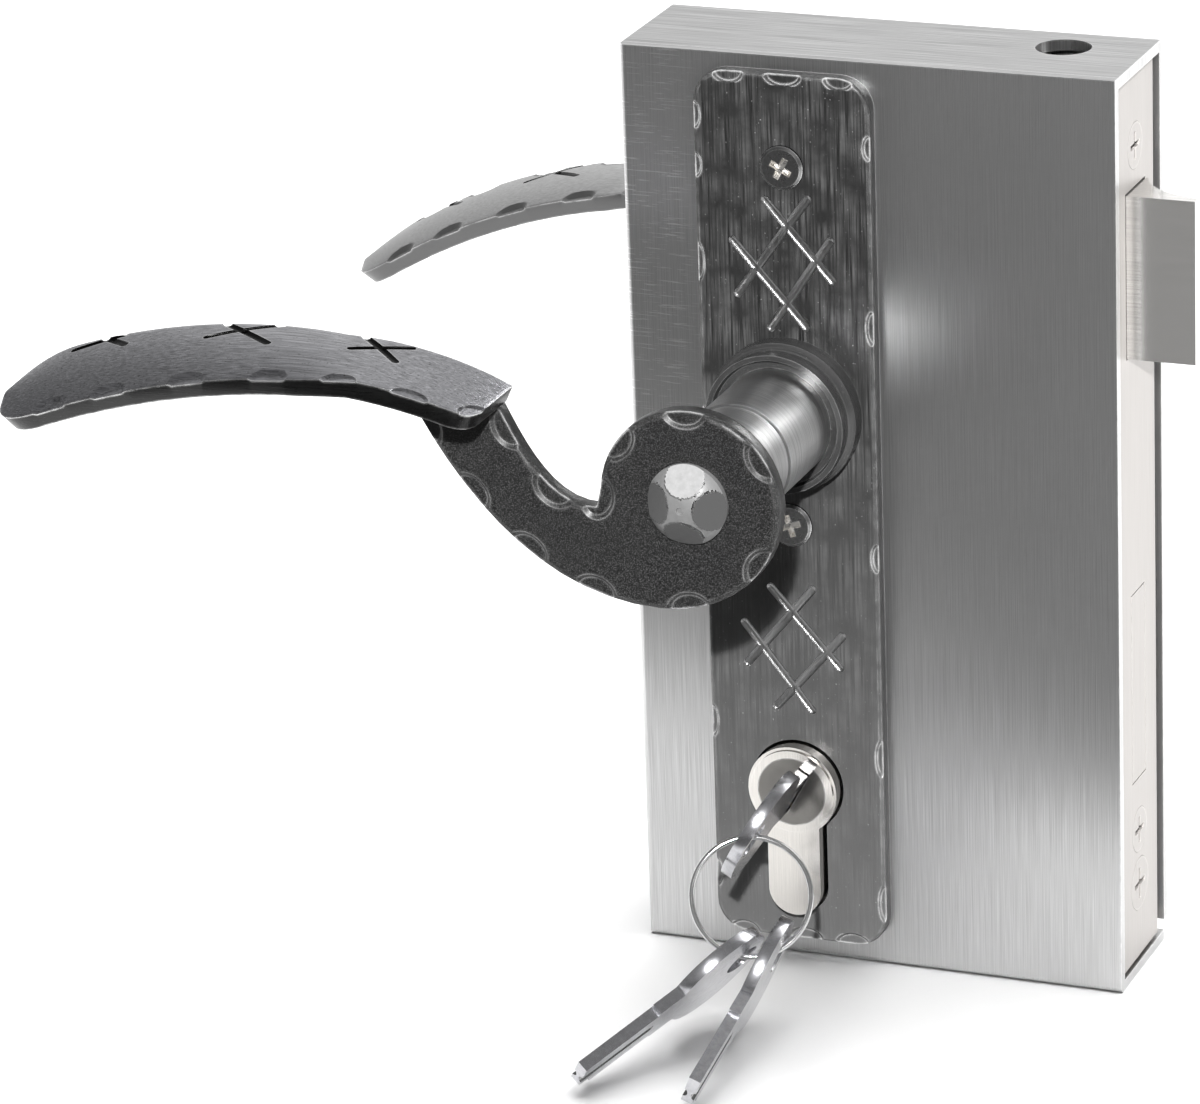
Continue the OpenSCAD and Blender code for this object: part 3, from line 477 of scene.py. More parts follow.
def metal(name, dark, light, gloss, stretch, contrast=0.25, bump=0.1, stain=None, dots=None, edges=None,
          marks=None, metallic=1.0, shine=0.5, rim=None, flank_shade=None, foot=None, bare=None):
    """gloss is the roughness in the light and the dark lines; stain, foot, dots, the flanks' shade and edges
    each start with a colour, and the values of their effect follow. The tone towards the foot is a painted
    reflection, and the flanks' tone is painted shade."""
    finish = bpy.data.materials.new(name)
    finish.use_nodes = True
    tree = finish.node_tree
    lines = use(tree, grain, Stretch=stretch, Contrast=contrast)
    colour = blend(tree, lines, dark, light)
    rough = ranged(tree, lines, 0.0, 1.0, gloss[1], gloss[0])
    if stain:
        cloudy = use(tree, clouds, Size=stain[1])
        colour = blend(tree, cloudy, colour, stain[0])
    # painted reflection: a lighter tone towards the foot stands in for the bright floor that the lower part
    # mirrors
    if foot:
        painted_foot_reflection = ranged(tree, axes_of(tree)["Z"], foot[1], foot[2])
        colour = blend(tree, painted_foot_reflection, colour, foot[0])
    if dots:
        salt = use(tree, speckle, Size=dots[1], Start=dots[2], End=dots[3])
        colour = blend(tree, salt, colour, dots[0])
    # painted shade: faces that don't look up are mixed towards a darker flank tone
    if flank_shade:
        painted_flank_shade = ranged(tree, axes_of(tree, "Normal")["Z"], flank_shade[1], flank_shade[2])
        colour = blend(tree, painted_flank_shade, colour, flank_shade[0])
    if edges:
        rubbed = use(tree, worn, Width=edges[1], Broken=edges[2], Gain=edges[3])
        if rim:
            outer = use(tree, outside, Centre=rim[0], Reach=rim[1])
            rubbed = sums(tree, "MULTIPLY", rubbed, outer)
        colour = blend(tree, rubbed, colour, edges[0])
    for label, tone in (marks or {}).items():
        noted = add(tree, "Attribute", attribute_name=label)
        colour = blend(tree, noted.outputs["Fac"], colour, tone)
    if bare:
        noted = add(tree, "Attribute", attribute_name=bare)
        metallic = ranged(tree, noted.outputs["Fac"], 0.0, 1.0, metallic, 1.0)
    relief = add(tree, "Bump", {"Strength": bump, "Distance": BUMP_DEPTH, "Height": lines})
    feed(tree, tree.nodes["Principled BSDF"], {"Base Color": colour, "Metallic": metallic, "Roughness": rough,
        "Specular IOR Level": shine, "Normal": relief.outputs["Normal"]})
    return finish


UPRIGHT = (5000, 5000, 70)
ACROSS = (70, 5000, 5000)
ROUND = (60, 6000, 60)
EVEN = (900, 900, 900)
LENGTHWAYS = (90, 3600, 3600)
PLATE_LINES = (2400, 2400, 60)
BRIGHT_EDGE = grey(0.85)
PLATE_MIDDLE = (-0.0145, 0, 0.087)
PLATE_REACH = (0.0148, 1, 0.0805)

finishes = {
    "faceplate_plating": metal("satin_plating", (0.36, 0.342, 0.328), (0.41, 0.392, 0.378), (0.36, 0.44),
        UPRIGHT, 0.3, 0.05, edges=((0.55, 0.53, 0.51), 0.0004, 600, 3), metallic=0.7),
    "zinc_screws": metal("zinc", grey(0.5), grey(0.72), (0.25, 0.4), EVEN,
        edges=(BRIGHT_EDGE, 0.0003, 900, 5)),
    "case_steel": metal("zinc_sheet", grey(0.5), grey(0.66), (0.3, 0.42), EVEN, bump=0.05),
    "inner_brass": metal("bare_brass", (0.62, 0.46, 0.2), (0.8, 0.64, 0.34), (0.22, 0.35), ROUND,
        bump=0.08),
    "bolt_nickel": metal("brushed_nickel", (0.68, 0.67, 0.65), (0.95, 0.93, 0.91), (0.14, 0.24), ACROSS,
        0.2, 0.14, edges=((0.85, 0.84, 0.82), 0.0004, 600, 4), metallic=0.97),
    "spring_steel": metal("spring_wire", grey(0.2), grey(0.4), (0.25, 0.4), EVEN, bump=0.05),
    "spindle_steel": metal("drawn_steel", grey(0.32), grey(0.5), (0.3, 0.45), ROUND, bump=0.08),
    "cylinder_nickel": metal("cylinder_nickel", (0.66, 0.64, 0.61), (0.86, 0.83, 0.79), (0.08, 0.16),
        UPRIGHT, 0.3, 0.04, edges=((0.95, 0.94, 0.92), 0.0003, 900, 4)),
    "forged_iron": metal("forged_iron", grey(0.003), grey(0.034), (0.28, 0.42), PLATE_LINES, 0.14, 0.3,
        stain=(grey(0.007), 170), dots=(grey(0.12), 2400, 0.74, 0.82), edges=(grey(0.2), 0.0007, 420, 9),
        marks={"groove": grey(0.26)}, metallic=0.2, shine=0.25, rim=(PLATE_MIDDLE, PLATE_REACH),
        # painted reflection: the plate is painted lighter towards its foot, for the bright floor that it
        # mirrors there
        foot=(grey(0.05), 0.12, -0.04), bare="groove"),
    "black_iron": metal("black_gloss", grey(0.015), grey(0.06), (0.18, 0.3), ROUND, 0.3, 0.1,
        dots=(grey(0.08), 2600, 0.64, 0.78), edges=(grey(0.3), 0.0003, 500, 2), metallic=0.7),
    "neck_iron": metal("turned_iron", grey(0.38), grey(0.72), (0.28, 0.4), ROUND, 0.22, 0.2,
        edges=(grey(0.6), 0.0003, 700, 4)),
    # painted shade: the dark mark tone is painted fully on the rivet's three lower blows and about half on
    # its star and small faces
    "rivet_steel": metal("hammered_steel", grey(0.11), grey(0.15), (0.34, 0.42), EVEN, 0.3, 0.1,
        edges=(grey(0.3), 0.0003, 700, 3), marks={"dent": grey(0.025)}, metallic=0.3),
    # painted reflection: the slight blue of the keys
    "key_nickel": metal("bright_nickel", grey(0.5, 0.04), grey(0.68, 0.04), (0.14, 0.24), EVEN, 0.3, 0.03,
        edges=(grey(0.97), 0.0002, 900, 3), marks={"groove": grey(0.4)}),
    "ring_steel": metal("bright_wire", grey(0.55), grey(0.8), (0.08, 0.16), EVEN, 0.3, 0.03),
}
scroll_finish = metal("speckled_iron", grey(0.001), grey(0.004), (0.34, 0.44), EVEN, 0.3, 0.1,
    dots=(grey(0.03), 4800, 0.48, 0.72), edges=(grey(0.18), 0.0008, 260, 5), metallic=0.15, shine=0.4)
# painted reflection: the slight blue of the leaf
grip_finish = metal("brushed_iron", grey(0.11, 0.06), grey(0.46, 0.06), (0.24, 0.36), LENGTHWAYS, 0.22, 0.2,
    dots=(grey(0.05), 2600, 0.64, 0.76), edges=(grey(0.9), 0.0007, 380, 6),
    # painted shade: the chisel strokes are painted near black for the shade inside them, and the flanks
    # darker for the shade on them
    marks={"stroke": grey(0.008)}, flank_shade=(grey(0.05), 0.6, 0.4))
# painted light: the rear leaf is the same iron as the front leaf, painted paler; its strokes and flanks are
# painted shade as on the front
rear_grip_painted_lighter = metal("iron_painted_lighter", grey(0.3), grey(0.58), (0.28, 0.4), LENGTHWAYS, 0.28, 0.1,
    edges=(grey(0.6), 0.0007, 380, 4), marks={"stroke": grey(0.03), "dent": grey(0.28)},
    flank_shade=(grey(0.13), 0.6, 0.4))
plug_finish = metal("turned_nickel", (0.12, 0.117, 0.11), (0.3, 0.29, 0.275), (0.1, 0.18), ROUND, 0.25, 0.1,
    edges=((0.9, 0.89, 0.87), 0.0004, 700, 5))
print("finishes of the slots:", len(finishes), "and four for single pieces")

# %% [markdown]
# The box needs a finish of its own. Its walls are ground upright and its top from side to side, so the
# grain is chosen by which way a face looks. Grinding also smears reflections across the grain: the
# anisotropic setting does that, with a tangent that lies square to the lines. Short cross scratches
# gather near the left edge, where the gate leaf was handled.

# %% Ground steel of the box
FINE_UPRIGHT = (8000, 8000, 45)
FINE_ACROSS = (40, 3500, 3500)
SCRATCHES = (150, 150, 3200)
SCRATCH_START = 0.975
SCRATCHED_X = (-0.030, -0.036)
SCRATCHED_Z = (0.09, 0.12)
CLOUD_SIZE = 38
CLOUD_SHARE = 0.25
ground = bpy.data.materials.new("ground_steel")
ground.use_nodes = True
tree = ground.node_tree
facing = add(tree, "NewGeometry").outputs["Normal"]
facing = add(tree, "SeparateXYZ", {"Vector": facing}).outputs
looks_up = sums(tree, "GREATER_THAN", facing["Z"], 0.5)
frontal = sums(tree, "GREATER_THAN", sums(tree, "ABSOLUTE", facing["Y"]), 0.5)
wall_lines = use(tree, grain, Stretch=FINE_UPRIGHT, Contrast=0.22)
top_lines = use(tree, grain, Stretch=FINE_ACROSS, Contrast=0.16)
lines = add(tree, "Mix", {0: looks_up, 2: wall_lines, 3: top_lines}).outputs[0]
colour = blend(tree, lines, grey(0.42), grey(0.76))
cloudy = use(tree, clouds, Size=CLOUD_SIZE)
colour = blend(tree, sums(tree, "MULTIPLY", cloudy, CLOUD_SHARE), colour, grey(0.5))
rubbed = use(tree, worn, Width=0.0006, Broken=500, Gain=6)
colour = blend(tree, rubbed, colour, grey(0.88))
axes = axes_of(tree)
ticks = use(tree, grain, Stretch=SCRATCHES, Contrast=0.1)
ticks = ranged(tree, ticks, SCRATCH_START, 1.0)
for limit in (ranged(tree, axes["X"], *SCRATCHED_X), ranged(tree, axes["Z"], *SCRATCHED_Z), frontal):
    ticks = sums(tree, "MULTIPLY", ticks, limit)
colour = blend(tree, ticks, colour, grey(0.85))
rough = ranged(tree, lines, 0.0, 1.0, 0.38, 0.28)
relief = add(tree, "Bump", {"Strength": 0.1, "Distance": BUMP_DEPTH, "Height": lines})
smear = add(tree, "CombineXYZ", {"X": frontal, "Y": sums(tree, "SUBTRACT", 1.0, frontal)})
feed(tree, tree.nodes["Principled BSDF"], {"Base Color": colour, "Metallic": 1.0, "Roughness": rough,
    "Anisotropic": 0.5, "Normal": relief.outputs["Normal"], "Tangent": smear.outputs["Vector"]})
finishes["box_steel"] = ground
print("box finish has", len(tree.nodes), "shader nodes")

# %% [markdown]
# ## Dress the frame
# Every solid that keeps its own shape takes the finish of its slot. The slots are those of the object's
# record; the list below says which pieces go with which slot. What shows in the lock's front is plated
# like the front itself.

# %% Finish of each node
slot_of = {
    "box_steel": ["box_front_shell", "box_back_shell"],
    "faceplate_plating": ["faceplate"],
    "zinc_screws": ["faceplate_screws", "retaining_screw", "backplate_screws", "sleeve_nuts",
                    "case_screws"],
    "case_steel": ["lock_case", "case_cover", "case_pillars"],
    "inner_brass": ["key_pins", "driver_pins"],
    "bolt_nickel": ["latch_bolt", "dead_bolt"],
    "spring_steel": ["latch_spring", "bolt_leaf_spring"],
    "spindle_steel": ["spindle", "follower", "grub_screws", "cylinder_cam"],
    "cylinder_nickel": ["cylinder_body", "front_plug", "rear_plug"],
    "forged_iron": ["front_backplate", "rear_backplate", "front_scroll", "rear_scroll", "front_grip",
                    "rear_grip"],
    "black_iron": ["front_collar", "rear_collar"],
    "neck_iron": ["front_neck", "rear_neck"],
    "rivet_steel": ["front_rivet", "rear_rivet"],
    "key_nickel": ["key", "left_spare_key", "right_spare_key"],
    "ring_steel": ["key_ring"],
}
PLATED = ["faceplate_screws", "retaining_screw", "dead_bolt"]
for slot, names in slot_of.items():
    for name in names:
        nodes[name].data.materials.clear()
        nodes[name].data.materials.append(finishes["faceplate_plating" if name in PLATED else slot])
nodes["front_plug"].data.materials[0] = plug_finish
print("dressed:", sum(len(names) for names in slot_of.values()), "of", len(nodes))


def finish_piece(piece, node, body, slot, material=None):
    """Gives a new piece its material, the slot's finish unless another is given, attaches it to its body and
    hides the solid that it stands for.
    """
    piece.data.materials.clear()
    piece.data.materials.append(material or finishes[slot])
    for face in piece.data.polygons:
        face.material_index = 0
    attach(piece, body)
    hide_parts(node)
    print(piece.name, "has", len(piece.data.polygons), "faces")


# %% [markdown]
# ## Punches
# Two tool marks return on the ironwork, and each has a cutter: a round-nosed groove or chisel stroke,
# made from a ball whose far half is pulled out to the other end; and a half-moon dent, made from a flat
# disc that is set over the edge of a face.

# %% Groove and dent cutters
def set_on(tool, centre, along, normal, length, width, thick, depth):
    """Sizes a cutter of radius one and sets it on a face, so that it sinks in by depth."""
    along = (along - along.dot(normal) * normal).normalized()
    turned = Matrix((along, normal.cross(along), normal)).transposed().to_4x4()
    size = Matrix.Diagonal((length / 2, width / 2, thick, 1))
    tool.matrix_world = Matrix.Translation(centre + normal * (thick - depth)) @ turned @ size
    settle(tool)
    return tool


def groove_cutter(start, end, radius, label="groove"):
    tool = shaped(bpy.ops.mesh.primitive_uv_sphere_add, segments=16, ring_count=12, radius=radius,
        location=start)
    heading = (end - start).normalized()
    pick(tool, "VERT", lambda corner: (corner.co - start).dot(heading) > radius * 0.05)
    bpy.ops.transform.translate(value=end - start)
    done_editing()
    return marked(tool, label)


def dent_cutter(centre, along, normal, length, width, depth):
    """A disc with a slightly slanted wall."""
    tool = shaped(bpy.ops.mesh.primitive_cone_add, vertices=40, radius1=0.8, radius2=1.2, depth=2)
    return marked(set_on(tool, centre, along, normal, length, width, depth, depth), "dent")


print("cutters ready")

# %% [markdown]
# ## Backplates
# Each plate is a strip of black iron with rounded corners, stamped with two lattices of four crossing
# grooves and dented along its rim by a punch. It starts as a cube at the solid's size. Its four corners
# are bevelled round, its front rim is bevelled slightly, and the holes, grooves and dents are cut in one
# go. The groove ends are given where a photograph shows them.

# %% Backplate blank
PLATE_CORNER = 6 * MM
PLATE_RIM = 0.6 * MM
low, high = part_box("front_backplate")
plate = shaped(bpy.ops.mesh.primitive_cube_add, size=1, location=(low + high) / 2, scale=high - low)
plate.name = "front_plate_forged"
pick(plate, "EDGE", lambda edge: abs(edge_ends(plate, edge)[0].y - edge_ends(plate, edge)[1].y) > MM)
bpy.ops.mesh.bevel(offset=PLATE_CORNER, segments=8, affect="EDGES")
done_editing()
pick(plate, "EDGE", lambda edge: all(end.y < low.y + 0.1 * MM for end in edge_ends(plate, edge)))
bpy.ops.mesh.bevel(offset=PLATE_RIM, segments=3, affect="EDGES")
done_editing()
print("plate blank", [round(v / MM, 1) for v in high - low], "mm")

# %% Backplate holes
SPINDLE = Vector((-14.5, 0, 107)) * MM
CYLINDER_Z = 35 * MM
SCREW_PLACES = [152.5 * MM, 85.5 * MM]
NECK_HOLE_R = 6.2 * MM
PLUG_HOLE_R = 8.85 * MM
LEG_SLOT_W = 10.9 * MM
LEG_SLOT_FOOT = 10.1 * MM
SCREW_HOLE_R = 2.6 * MM
SINK_R = 4.15 * MM
SINK_DEPTH = 1.95 * MM
SINK_LIFT = 0.02 * MM
SHAFT_FROM = 0.5 * MM


def bored(radius, x, z, y0, y1, radius_end=None):
    """A round cutter along Y, or a cone if a second radius is given."""
    tool = shaped(bpy.ops.mesh.primitive_cone_add, vertices=64, radius1=radius,
        radius2=radius_end or radius, depth=y1 - y0, location=(x, (y0 + y1) / 2, z),
        rotation=(-math.pi / 2, 0, 0))
    return marked(tool, "plain")


def slotted(width, x, z0, z1, y0, y1):
    """An upright slot with a round foot, cut along Y."""
    foot = bored(width / 2, x, z0 + width / 2, y0, y1)
    pick(foot, "VERT", lambda corner: corner.co.z > z0 + width / 2)
    bpy.ops.transform.translate(value=(0, 0, z1 - z0 - width / 2))
    done_editing()
    return foot


through = (low.y - MM, high.y + MM)
plate_cutters = [bored(NECK_HOLE_R, SPINDLE.x, SPINDLE.z, *through),
                 bored(PLUG_HOLE_R, SPINDLE.x, CYLINDER_Z, *through),
                 slotted(LEG_SLOT_W, SPINDLE.x, LEG_SLOT_FOOT, CYLINDER_Z, *through)]
for z in SCREW_PLACES:
    plate_cutters.append(bored(SINK_R, SPINDLE.x, z, low.y - SINK_LIFT, low.y + SINK_DEPTH, SCREW_HOLE_R))
    plate_cutters.append(bored(SCREW_HOLE_R, SPINDLE.x, z, low.y + SHAFT_FROM, high.y + MM))
print("cutters for the holes:", len(plate_cutters))

# %% Backplate marks
GROOVE_R = 1.0 * MM
GROOVE_LIFT = 0.55 * MM
UPPER_LATTICE = [((765, 200), (832, 281)), ((733, 240), (806, 327)), ((807, 200), (738, 293)),
                 ((830, 242), (771, 327))]
LOWER_LATTICE = [((771, 587), (840, 668)), ((745, 622), (812, 710)), ((812, 590), (748, 662)),
                 ((842, 637), (777, 706))]
FRONT = Vector((0, -1, 0))
RIGHTWARD = Vector((1, 0, 0))
UPWARD = Vector((0, 0, 1))
END_DENT = (4.6 * MM, 0.5 * MM)
SIDE_DENT = (2.8 * MM, 0.45 * MM)
TOP_DENTS = [(727, 80, 6.2), (782, 84, 7.4), (838, 92, 6)]
FOOT_DENTS = [(745, 930, 6.5), (806, 933, 7.2), (853, 935, 7)]
SIDE_DENTS = [(700, 115, 5.5), (701, 165, 5), (703, 262, 8), (707, 420, 6), (714, 720, 7), (719, 872, 6),
              (876, 150, 5), (878, 330, 7), (880, 560, 6), (884, 760, 8), (887, 905, 8)]


def on_plate(pixel):
    return touch(pixel, 1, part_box("front_backplate")[0].y / MM) * MM


for lattice in (UPPER_LATTICE, LOWER_LATTICE):
    for start, end in lattice:
        lift = Vector((0, GROOVE_LIFT, 0))
        plate_cutters.append(groove_cutter(on_plate(start) - lift, on_plate(end) - lift, GROOVE_R))
for x, y, length in TOP_DENTS + FOOT_DENTS:
    spot = on_plate((x, y))
    spot.z = high.z if spot.z > SPINDLE.z else low.z
    plate_cutters.append(dent_cutter(spot, RIGHTWARD, FRONT, length * MM, *END_DENT))
for x, y, length in SIDE_DENTS:
    spot = on_plate((x, y))
    spot.x = low.x if spot.x < SPINDLE.x else high.x
    plate_cutters.append(dent_cutter(spot, UPWARD, FRONT, length * MM, *SIDE_DENT))
carve(plate, plate_cutters)
smooth(plate)
rear_plate = twin_behind(plate, "rear_plate_forged")
finish_piece(plate, "front_backplate", "lock_box", "forged_iron")
finish_piece(rear_plate, "rear_backplate", "lock_box", "forged_iron")

# %% [markdown]
# ## Scrolls
# The scroll is a flat forging, cut to a snail's outline and dented all round its rim. The solid already
# has the outline, so a copy of it is merged into clean faces, its rim is bevelled round on both sides,
# and half-moon dents are set on the rim. Each dent lies along the nearest stretch of the outline.

# %% Front scroll
SCROLL_RIM = 0.9 * MM
SCROLL_DENT = (8.4 * MM, 6.4 * MM, 0.5 * MM)
SCROLL_DENTS = [(688, 417), (751, 473), (750, 553), (688, 600), (603, 594), (612, 445), (548, 488),
                (465, 500), (527, 555), (505, 425), (598, 492), (430, 425)]
BORE_CLEAR = 9 * MM
ON_FACE = 0.05 * MM
scroll = clean_copy("front_scroll", "front_scroll_forged", degrees=0.5)
low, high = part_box("front_scroll")


def on_rim(edge, face_y):
    ends = edge_ends(scroll, edge)
    middle = (ends[0] + ends[1]) / 2
    clear_of_bore = (Vector((middle.x, 0, middle.z)) - SPINDLE).length > BORE_CLEAR
    return clear_of_bore and all(abs(end.y - face_y) < ON_FACE for end in ends)


rim = [[end.copy() for end in edge_ends(scroll, edge)] for edge in scroll.data.edges if on_rim(edge, low.y)]
pick(scroll, "EDGE", lambda edge: on_rim(edge, low.y) or on_rim(edge, high.y))
bpy.ops.mesh.bevel(offset=SCROLL_RIM, segments=3, affect="EDGES")
done_editing()
scroll_cutters = []
for pixel in SCROLL_DENTS:
    spot = touch(pixel, 1, low.y / MM) * MM
    near = min(rim, key=lambda ends: ((ends[0] + ends[1]) / 2 - spot).length)
    middle = (near[0] + near[1]) / 2
    scroll_cutters.append(dent_cutter(middle, near[1] - near[0], FRONT, *SCROLL_DENT))
carve(scroll, scroll_cutters)
smooth(scroll)
print("rim edges:", len(rim))

# %% [markdown]
# The rear scroll is the same forging, tilted down a little with its lever and mirrored behind the box.

# %% Rear scroll
REAR_DROOP = math.radians(-10.5)


def to_rear_lever(piece):
    """Droops a front lever piece about the spindle and mirrors it behind the box."""
    droop = Matrix.Translation(SPINDLE) @ Matrix.Rotation(REAR_DROOP, 4, "Y") @ Matrix.Translation(-SPINDLE)
    piece.matrix_world = Matrix.Diagonal((1, -1, 1, 1)) @ droop
    settle(piece)
    outward(piece)


rear_scroll = copy_of(scroll, "rear_scroll_forged")
to_rear_lever(rear_scroll)
smooth(rear_scroll)
finish_piece(scroll, "front_scroll", "levers", "forged_iron", scroll_finish)
finish_piece(rear_scroll, "rear_scroll", "levers", "forged_iron", scroll_finish)

# %% [markdown]
# ## Leaves
# The hand rests on a leaf: a strip that arches up from the scroll, widens, twists a little towards its
# tip and ends in a rounded point. A flat grid is laid along that arch by the same curve that the solid
# follows, crowned a little across, given a thickness by a modifier, and its edges are rounded. The rear
# leaf also sweeps away from the box. Crossed chisel strokes and half-moon dents are cut where the
# picture shows them.

# %% Leaf shape
LEAF_ARCH = [(-33.6, 16.8), (-57.6, 28.0), (-93.8, 25.5), (-127.6, 10.0)]
LEAF_HALF = [9.3, 11.8, 11.8, 9.5]
LEAF_INNER_Y = -62.5
LEAF_THICK = 3.2
LEAF_EDGE = 0.5 * MM
LEAF_ROWS = 110
LEAF_COLUMNS = 20
TIP_FROM = 0.9
TIP_SHARE = 0.96
TIP_POWER = 2.4
TIP_CROWDING = 1.5
HEEL_TO = 0.06
HEEL_R = 4.5
TWIST_FROM = 0.27
TWIST_TO = 0.9
CROWN = 0.8
CROWN_RUN = 0.1
FRONT_BEND = (math.radians(19), 0.0)
REAR_BEND = (math.radians(-9), 11.5)


def along_curve(points, t):
    weights = ((1 - t) ** 3, 3 * t * (1 - t) ** 2, 3 * t * t * (1 - t), t ** 3)
    if isinstance(points[0], tuple):
        return tuple(sum(w * p[i] for w, p in zip(weights, points)) for i in (0, 1))
    return sum(w * p for w, p in zip(weights, points))


def within(value):
    return min(max(value, 0), 1)


def leaf_point(t, across, bend):
    """A point of the leaf's upper face in millimetres: t goes from heel to tip, across from -1, which is
    the outside, to 1."""
    twist, sweep = bend
    x, z = along_curve(LEAF_ARCH, t)
    half = along_curve(LEAF_HALF, t)
    past_tip = within((t - TIP_FROM) / (1 - TIP_FROM))
    share = math.sqrt(1 - TIP_SHARE * past_tip ** TIP_POWER)
    heel = 0 if t > HEEL_TO else HEEL_R * (1 - math.sqrt(1 - (1 - t / HEEL_TO) ** 2))
    outer = -half * share + heel
    offset = outer + (half * share - outer) * (across + 1) / 2
    turn = twist * within((t - TWIST_FROM) / (TWIST_TO - TWIST_FROM))
    crown = CROWN * within((t - TWIST_FROM) / CROWN_RUN) * across ** 2
    return Vector((SPINDLE.x / MM + x, LEAF_INNER_Y - half - sweep * t * t + offset * math.cos(turn),
                   SPINDLE.z / MM + z + offset * math.sin(turn) - crown))


def leaf_blank(name, bend):
    leaf = shaped(bpy.ops.mesh.primitive_grid_add, x_subdivisions=LEAF_ROWS, y_subdivisions=LEAF_COLUMNS,
        size=2)
    leaf.name = name
    for corner in leaf.data.vertices:
        u = (corner.co.x + 1) / 2
        t = u if u < 0.5 else 1 - 0.5 * (2 * (1 - u)) ** TIP_CROWDING
        corner.co = leaf_point(t, corner.co.y, bend) * MM
    if sum(face.normal.z for face in leaf.data.polygons) < 0:
        edit_all(leaf, bpy.ops.mesh.flip_normals)
    wall = leaf.modifiers.new("thickness", "SOLIDIFY")
    wall.thickness = LEAF_THICK * MM
    wall.offset = -1
    round_edges(leaf, LEAF_EDGE, segments=3, degrees=50)
    apply_modifiers(leaf)
    return leaf


leaf = leaf_blank("front_leaf_forged", FRONT_BEND)
rear_leaf = leaf_blank("rear_leaf_forged", REAR_BEND)
print("leaf faces:", len(leaf.data.polygons))

# %% Leaf marks
CROSS_STROKES = [((350, 348), (412, 348)), ((365, 335), (395, 362)), ((207, 337), (282, 324)),
                 ((226, 323), (267, 343)), ((75, 350), (124, 336)), ((104, 335), (124, 344))]
EDGE_DENTS = [49, 108, 186, 265, 339, 408, 474]
LEAF_DENT = (7.4 * MM, 5.6 * MM, 0.4 * MM)
STROKE_R = 0.85 * MM
STROKE_LIFT = 0.35 * MM
T_STEPS = 200
CROSS_STEPS = 40
SPOTS = [(t / T_STEPS, 2 * a / CROSS_STEPS - 1) for t in range(T_STEPS + 1) for a in range(CROSS_STEPS + 1)]
SEEN = [(see(leaf_point(*spot, FRONT_BEND)), spot) for spot in SPOTS]


def leaf_under(pixel):
    """The place on the front leaf (t, across) that is seen nearest to a picture position."""
    return min(SEEN, key=lambda seen: (seen[0][0] - pixel[0]) ** 2 + (seen[0][1] - pixel[1]) ** 2)[1]


def leaf_heading(t, across, bend, step):
    return leaf_point(min(t + step, 1), across, bend) - leaf_point(max(t - step, 0), across, bend)


def leaf_normal(t, across, bend):
    lengthways = leaf_heading(t, across, bend, 0.01)
    sideways = leaf_point(t, 1, bend) - leaf_point(t, -1, bend)
    normal = lengthways.cross(sideways).normalized()
    return normal if normal.z > 0 else -normal


strokes = [(leaf_under(a), leaf_under(b)) for a, b in CROSS_STROKES]
near_edge = [seen for seen in SEEN if seen[1][1] == -1]
dents = [min(near_edge, key=lambda seen: abs(seen[0][0] - x))[1][0] for x in EDGE_DENTS]


def mark_leaf(leaf, bend, side, dented):
    """Cuts the strokes and dents; side mirrors the strokes, and dented says which edges have dents."""
    cutters = []
    for first, last in strokes:
        start = leaf_point(first[0], side * first[1], bend) * MM
        end = leaf_point(last[0], side * last[1], bend) * MM
        lift = leaf_normal((first[0] + last[0]) / 2, 0, bend) * STROKE_LIFT
        cutters.append(groove_cutter(start + lift, end + lift, STROKE_R, "stroke"))
    for t in dents:
        for across in dented:
            spot = leaf_point(t, across, bend) * MM
            ahead = leaf_heading(t, across, bend, 0.02)
            cutters.append(dent_cutter(spot, ahead, leaf_normal(t, across, bend), *LEAF_DENT))
    carve(leaf, cutters)
    smooth(leaf)


mark_leaf(leaf, FRONT_BEND, 1, (-1,))
mark_leaf(rear_leaf, REAR_BEND, -1, (-1, 1))
to_rear_lever(rear_leaf)
smooth(rear_leaf)
finish_piece(leaf, "front_grip", "levers", "forged_iron", grip_finish)
finish_piece(rear_leaf, "rear_grip", "levers", "forged_iron", rear_grip_painted_lighter)

# %% [markdown]
# ## Rivets
# A hammered rivet head: a dome on a short wall, which four blows have flattened. They leave a star of
# four points in the middle, with a small punch mark. The dome is cut from a ball, the wall is extruded
# from its flat side, and each blow is a bisecting plane whose opening is filled. Corners that then lie
# very close are merged. Bisecting leaves the corners in no fixed order, so they are sorted before that,
# and every run merges the same ones. Light and shade are painted on the head: the upper blow keeps the
# lit tone, the other three are painted dark as shade, and the star is painted half in shade.

# %% Rivet
RIVET_R = 7.25 * MM
DOME_H = 3.4 * MM
BLOW_TILT = math.radians(36)
BLOW_HALF = math.radians(22.3)
BLOW_TURN = math.radians(87.2)
SLIVER = 0.06 * MM
RIVET_SEAT = 0.4 * MM
PUNCH = (1.3 * MM, 1.3 * MM, 0.3 * MM)
RIVET_ANGLE = 14
BALL_SIDES = 128
